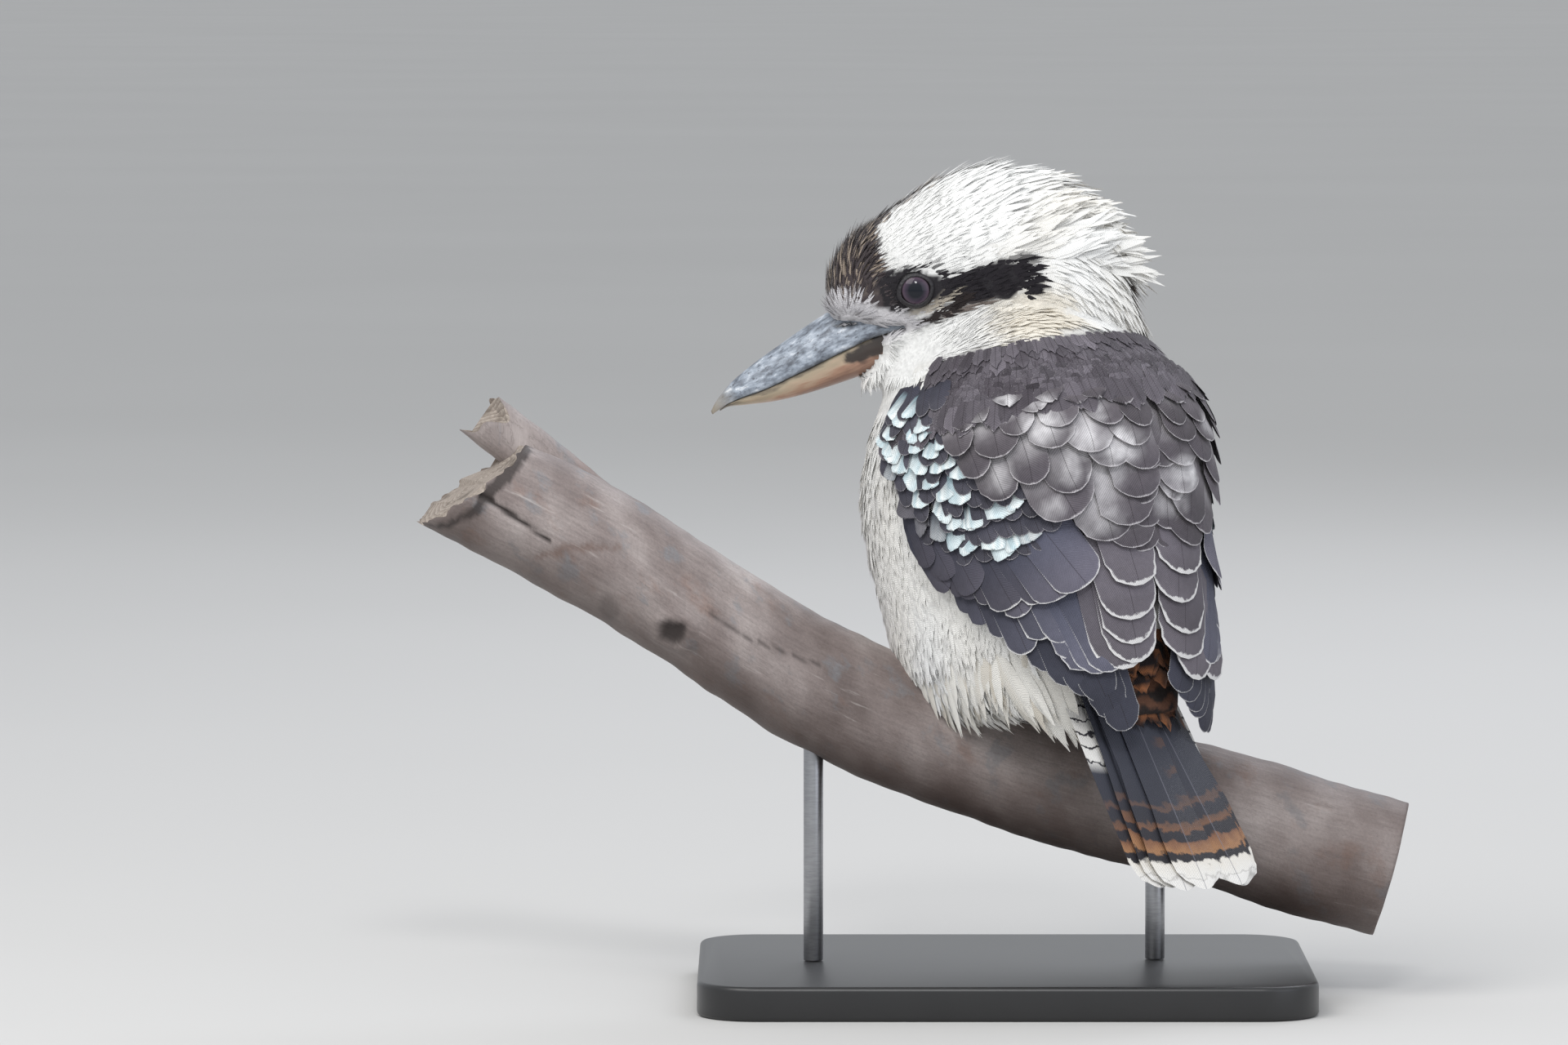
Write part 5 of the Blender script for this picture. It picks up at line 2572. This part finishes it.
@dataclass
class Perch:
    """The cut length of branch: smooth mottled bark, a sawn end, a broken side branch and a knot."""

    sides: int = 108
    rings: int = 300
    crack: tuple[tuple[float, float, float], ...] = (
        (-213, 206.5, 0.9), (-200, 198, 0.8), (-184.8, 187.6, 0.2)
    )
    rim: tuple[tuple[float, float, float], ...] = (
        (-195.5, 224, 2.4), (-210.5, 205, 2.2), (-222, 196, 1.2), (-236, 191, 0.5)
    )
    scar: tuple[tuple[float, float, float], ...] = (
        (-192, 180.3, 1.0), (-178.4, 184.6, 1.8), (-156.2, 185.4, 0.8)
    )
    rift: tuple[tuple[float, float, float], ...] = (
        (-123, 161.5, 0.1), (-106.8, 149.6, 0.25), (-76, 137.6, 0.1)
    )
    blot: tuple[float, float, float, float] = (-161, 160, 4.4, 5.5)
    knot_at: tuple[float, float, float] = (-134, -23, 152)

    def trunk(self) -> bpy.types.Mesh:
        """The main branch, sawn off slantwise with a splintered rim."""
        loft = Loft()
        x = np.linspace(BRANCH[0, 0], BRANCH[-1, 0], self.rings)
        centre = branch_middle(x)
        along = unit(np.gradient(centre, axis=0))
        up = unit(-np.cross(np.array([0.0, 1.0, 0.0]), along))
        across = np.cross(along, up)
        turn = np.linspace(0, 2 * math.pi, self.sides, endpoint=False)
        ragged = 0.8 * np.sin(9 * turn) + 0.6 * np.sin(17 * turn + 1) + 0.4 * np.sin(31 * turn)
        for k in range(self.rings):
            t = k / (self.rings - 1)
            swell = 0.9 * np.sin(7 * t + turn) + 0.6 * np.sin(17 * t + 2 * turn + 1)
            radius = float(read(BRANCH, np.array([x[k]]), 2)[0]) + swell
            out = np.cos(turn)[:, None] * up[k] + np.sin(turn)[:, None] * across[k]
            ring = centre[k] + out * radius[:, None]
            near = max(0.0, 1 - t / 0.03)
            ring = (
                ring
                + along[k] * ((12.3 * np.cos(turn) + 4.0 * np.sin(turn) + ragged * near) * near)[:, None]
            )
            loft.ring(ring)
        return bmesh_to("perch_bark", [loft.close()])

    def side_branch(self) -> bmesh.types.BMesh:
        """The broken side branch behind the sawn end."""
        start, end = np.array([-140.0, 11, 177]), np.array([-211.0, 18, 234])
        along = unit(end - start)
        up = unit(-np.cross(np.array([0.0, 1.0, 0.0]), along))
        across = np.cross(along, up)
        turn = np.linspace(0, 2 * math.pi, 48, endpoint=False)
        loft = Loft()
        for i in np.linspace(0, 6, 40):
            radius = 12.4 - 2.2 * i / 6 + 0.5 * np.sin(3 * turn + i)
            ring = (
                start
                + (end - start) * i / 6
                + (np.cos(turn) * radius)[:, None] * up
                + (np.sin(turn) * radius)[:, None] * across
            )
            if i > 5:
                break_line = (i - 5) * (5 * np.sin(2 * turn + 0.6) + 2.4 * np.sin(5 * turn))
                ring = ring + along * break_line[:, None]
            loft.ring(ring)
        return loft.close()

    def dress_bark(self, mesh: bpy.types.Mesh) -> None:
        """Moves the bark's small lumps and keeps its own distances for the finish."""
        points = verts_of(mesh)
        normals = np.empty(len(mesh.vertices) * 3, np.float32)
        mesh.vertices.foreach_get("normal", normals)
        normals = normals.reshape(-1, 3).astype(float)
        x = np.clip(points[:, 0], BRANCH[0, 0], BRANCH[-1, 0])
        middle = branch_middle(x)
        q = points - middle
        turn = np.arctan2(q[:, 1], q[:, 2])
        lumps = 0.4 * waves(points, 18, 201) + 0.14 * waves(points, 6, 202)
        near, across, up = points[:, 1] < 0, points[:, 0], points[:, 2]
        jag = 0.5 * waves(points, 3, 203)
        crack = ease(0.7, -0.3, stroke(across, up, self.crack) + 0.3 * jag) * near
        burnt = ease(0.8, -0.8, stroke(across, up, self.rim) + 2 * jag) * near
        scar = ease(0.8, -0.8, stroke(across, up, self.scar) + 1.6 * jag) * near
        rift = ease(0.8, 0.0, stroke(across, up, self.rift) + 0.8 * jag) * near
        blot = ease(
            1.2, 0.7,
            np.hypot((across - self.blot[0]) / self.blot[2], (up - self.blot[1]) / self.blot[3]) + 0.3 * jag
        )
        knot_gap = (
            np.linalg.norm((points - np.array(self.knot_at)) / np.array([7.0, 5.0, 6.0]), axis=1)
            + 0.2 * jag
        )
        knot = ease(1.25, 0.75, knot_gap)
        rim = ease(0.6, 1.1, knot_gap) * ease(1.9, 1.2, knot_gap)
        height = lumps - 1.5 * crack - 1.4 * knot + 1.2 * rim - 0.5 * rift - 0.3 * scar
        moved = points + normals * height[:, None]
        mesh.vertices.foreach_set("co", (moved * MM).astype(np.float32).ravel())
        put(mesh, "bark", "FLOAT_VECTOR", np.stack([points[:, 0] * 1.1, turn * 26, 0 * turn], axis=1))
        under = ease(0.5, -0.7, np.cos(turn + 0.5)) * 0.92
        right = ease(-150, 70, points[:, 0]) * 0.55
        put(mesh, "below", "FLOAT", np.clip(under + right * (1 - under), 0, 1))
        put(
            mesh, "wound", "FLOAT",
            np.clip(crack + burnt * 0.85 + knot * 0.9 + rift * 0.6 + blot * near * 0.3, 0, 1)
        )
        put(mesh, "scar", "FLOAT", np.clip(scar, 0, 1))

    def build(self) -> None:
        """Builds the bark and its sawn end."""
        bark = BarkFinish().make()
        end = CutWoodFinish().make()
        for name, mesh, replaced in (
            ("perch_bark", self.trunk(), ("perch",)),
            ("perch_side_branch", bmesh_to("perch_side_branch", [self.side_branch()]), ()),
        ):
            self.dress_bark(mesh)
            piece = new_object(name, mesh, bark)
            piece.data.materials.append(end)
            for face in mesh.polygons:
                if len(face.vertices) > 8:
                    face.material_index = 1
                    face.use_smooth = False
            dress(piece, "bark", *replaced)


@dataclass
class Stand:
    """The display stand: a flat base with rounded corners and two rods up to the branch."""

    length: float = 250
    depth: float = 184
    height: float = 14
    corner: float = 24
    bevel: float = 2
    rod_radius: float = 4
    rods: tuple[tuple[str, float], ...] = (("left", -78), ("right", 62))

    def base(self) -> None:
        """The base plate."""
        plate = bmesh.new()
        bmesh.ops.create_cube(plate, size=1.0)
        bmesh.ops.scale(plate, vec=(self.length * MM, self.depth * MM, self.height * MM), verts=plate.verts)
        bmesh.ops.translate(plate, vec=(0, 0, self.height * MM / 2), verts=plate.verts)
        corners = [e for e in plate.edges if abs((e.verts[0].co - e.verts[1].co).z) > 1e-6]
        common = {"affect": "EDGES", "profile": 0.5, "material": -1}
        bmesh.ops.bevel(plate, geom=corners, offset=self.corner * MM, segments=14, **common)
        rims = [f for f in plate.faces if abs(f.normal.z) > 0.9]
        edges = list({e for f in rims for e in f.edges})
        bmesh.ops.bevel(plate, geom=edges, offset=self.bevel * MM, segments=4, **common)
        mesh = bmesh_to("stand_base_painted", [plate])
        mesh.set_sharp_from_angle(angle=deg(40))
        dress(new_object("stand_base_painted", mesh, PaintFinish().make()), "base", "stand_base")

    def rod(self, word: str, x: float, finish: bpy.types.Material) -> None:
        """A rod from the base into the branch, with a low collar."""
        foot = self.height + 0.3
        top = float(read(BRANCH, np.array([x]), 1)[0]) - float(read(BRANCH, np.array([x]), 2)[0]) + 3
        y = 3 * math.sin(x / 60)
        shape = bmesh.new()
        made = bmesh.ops.create_cone(
            shape,
            cap_ends=True,
            segments=48,
            radius1=self.rod_radius * MM,
            radius2=self.rod_radius * MM,
            depth=(top - foot) * MM,
        )
        bmesh.ops.translate(shape, vec=(x * MM, y * MM, (top + foot) / 2 * MM), verts=made["verts"])
        rim = [e for e in shape.edges if abs(e.verts[0].co.z - e.verts[1].co.z) < 1e-7]
        bmesh.ops.bevel(
            shape, geom=rim, offset=0.4 * MM, segments=2, affect="EDGES", profile=0.5, material=-1
        )
        name = f"stand_rod_{word}_steel"
        mesh = bmesh_to(name, [shape])
        mesh.set_sharp_from_angle(angle=deg(40))
        dress(new_object(name, mesh, finish), "rods", f"stand_rod_{word}")

    def build(self) -> None:
        """Builds the base and its rods."""
        self.base()
        steel = SteelFinish().make()
        for word, x in self.rods:
            self.rod(word, x, steel)


@dataclass
class Studio:
    """Camera, floor and soft light."""

    target: tuple[float, float, float] = (-90, 0, 193.7)
    distance: float = 3556
    elevation: float = deg(4)
    lens: float = 200

    def camera(self) -> None:
        """The photograph's framing."""
        data = bpy.data.cameras.new("camera")
        data.lens, data.sensor_width, data.clip_end = self.lens, 36, 400
        camera = bpy.data.objects.new("camera", data)
        aim = Vector(self.target) * MM
        away = Vector((0, -math.cos(self.elevation), math.sin(self.elevation)))
        camera.location = aim + away * self.distance * MM
        camera.rotation_euler = (aim - camera.location).to_track_quat("-Z", "Y").to_euler()
        bpy.context.scene.collection.objects.link(camera)
        bpy.context.scene.camera = camera

    def floor(self) -> None:
        """A wide floor, so that it fills the view from any side."""
        shape = bmesh.new()
        bmesh.ops.create_grid(shape, x_segments=2, y_segments=2, size=160)
        floor = new_object("floor", bmesh_to("floor", [shape], smooth=False), FloorFinish().make())

    def light(
        self, name: str, place: tuple[float, float, float], size: float, power: float, warmth: str
    ) -> None:
        """A soft square light aimed at the bird."""
        data = bpy.data.lights.new(name, "AREA")
        data.shape, data.size, data.energy = "SQUARE", size, power
        data.color = linear(warmth)[:3]
        lamp = bpy.data.objects.new(name, data)
        lamp.location = place
        lamp.rotation_euler = (Vector((0, 0, 0.2)) - lamp.location).to_track_quat("-Z", "Y").to_euler()
        bpy.context.scene.collection.objects.link(lamp)

    def build(self) -> None:
        """Sets the whole studio."""
        self.camera()
        self.floor()
        self.light("key", (-1.2, -1.4, 2.2), 1.6, 34, "fffdfa")
        self.light("fill", (2.1, -1.8, 1.2), 2.2, 14, "eef3ff")
        self.light("catch", (0.0, -1.75, 1.65), 0.36, 12, "ffffff")
        self.light("rim", (0.9, 1.9, 1.9), 1.3, 18, "f4f7ff")
        world = bpy.data.worlds.new("studio")
        world.use_nodes = True
        back = world.node_tree.nodes["Background"]
        back.inputs[0].default_value = linear("dfe2e6")
        back.inputs[1].default_value = 0.86
        bpy.context.scene.world = world
        bpy.context.scene.view_settings.view_transform = "Standard"


def corners(box: Any) -> list[list[float]]:
    """A box's corners as plain lists."""
    return [[float(v) for v in corner] for corner in box]


def main() -> None:
    """Builds the studio and the bird piece by piece."""
    logging.basicConfig(level=logging.INFO, format="%(name)s %(message)s")
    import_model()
    Studio().build()
    skin = Skin().build()
    ground = SkinMap(skin)
    down = FeatherFinish(
        "white_down_feather", barb_pitch=0.8, barb_shade=0.07, roughness=0.85, sheen=0.25, wear=0.1
    ).make()
    covert = FeatherFinish(
        "brown_contour_feather", barb_pitch=1.1, barb_shade=0.24, sheen=0.05, fringe="cfcbce",
        fringe_share=0.7, wear=0.5
    ).make()
    flight = FeatherFinish(
        "slate_flight_feather", barb_shade=0.16, roughness=0.68, sheen=0.02, fringe="ecebea",
        fringe_share=0.75, gloss=0.15
    ).make()
    rump = FeatherFinish("barred_rump_feather", roughness=0.8).make()
    Hood(ground, down).build()
    Underparts(ground, down).build()
    Mantle(covert).build()
    for side in Side:
        Wing(side, covert, flight).build()
        Eye(side).build()
    Tail(rump).build()
    Bill().build()
    Leg(Side.LEFT, -15).build()
    Leg(Side.RIGHT, 21).build()
    Perch().build()
    Stand().build()


if __name__ == "__main__":
    main()
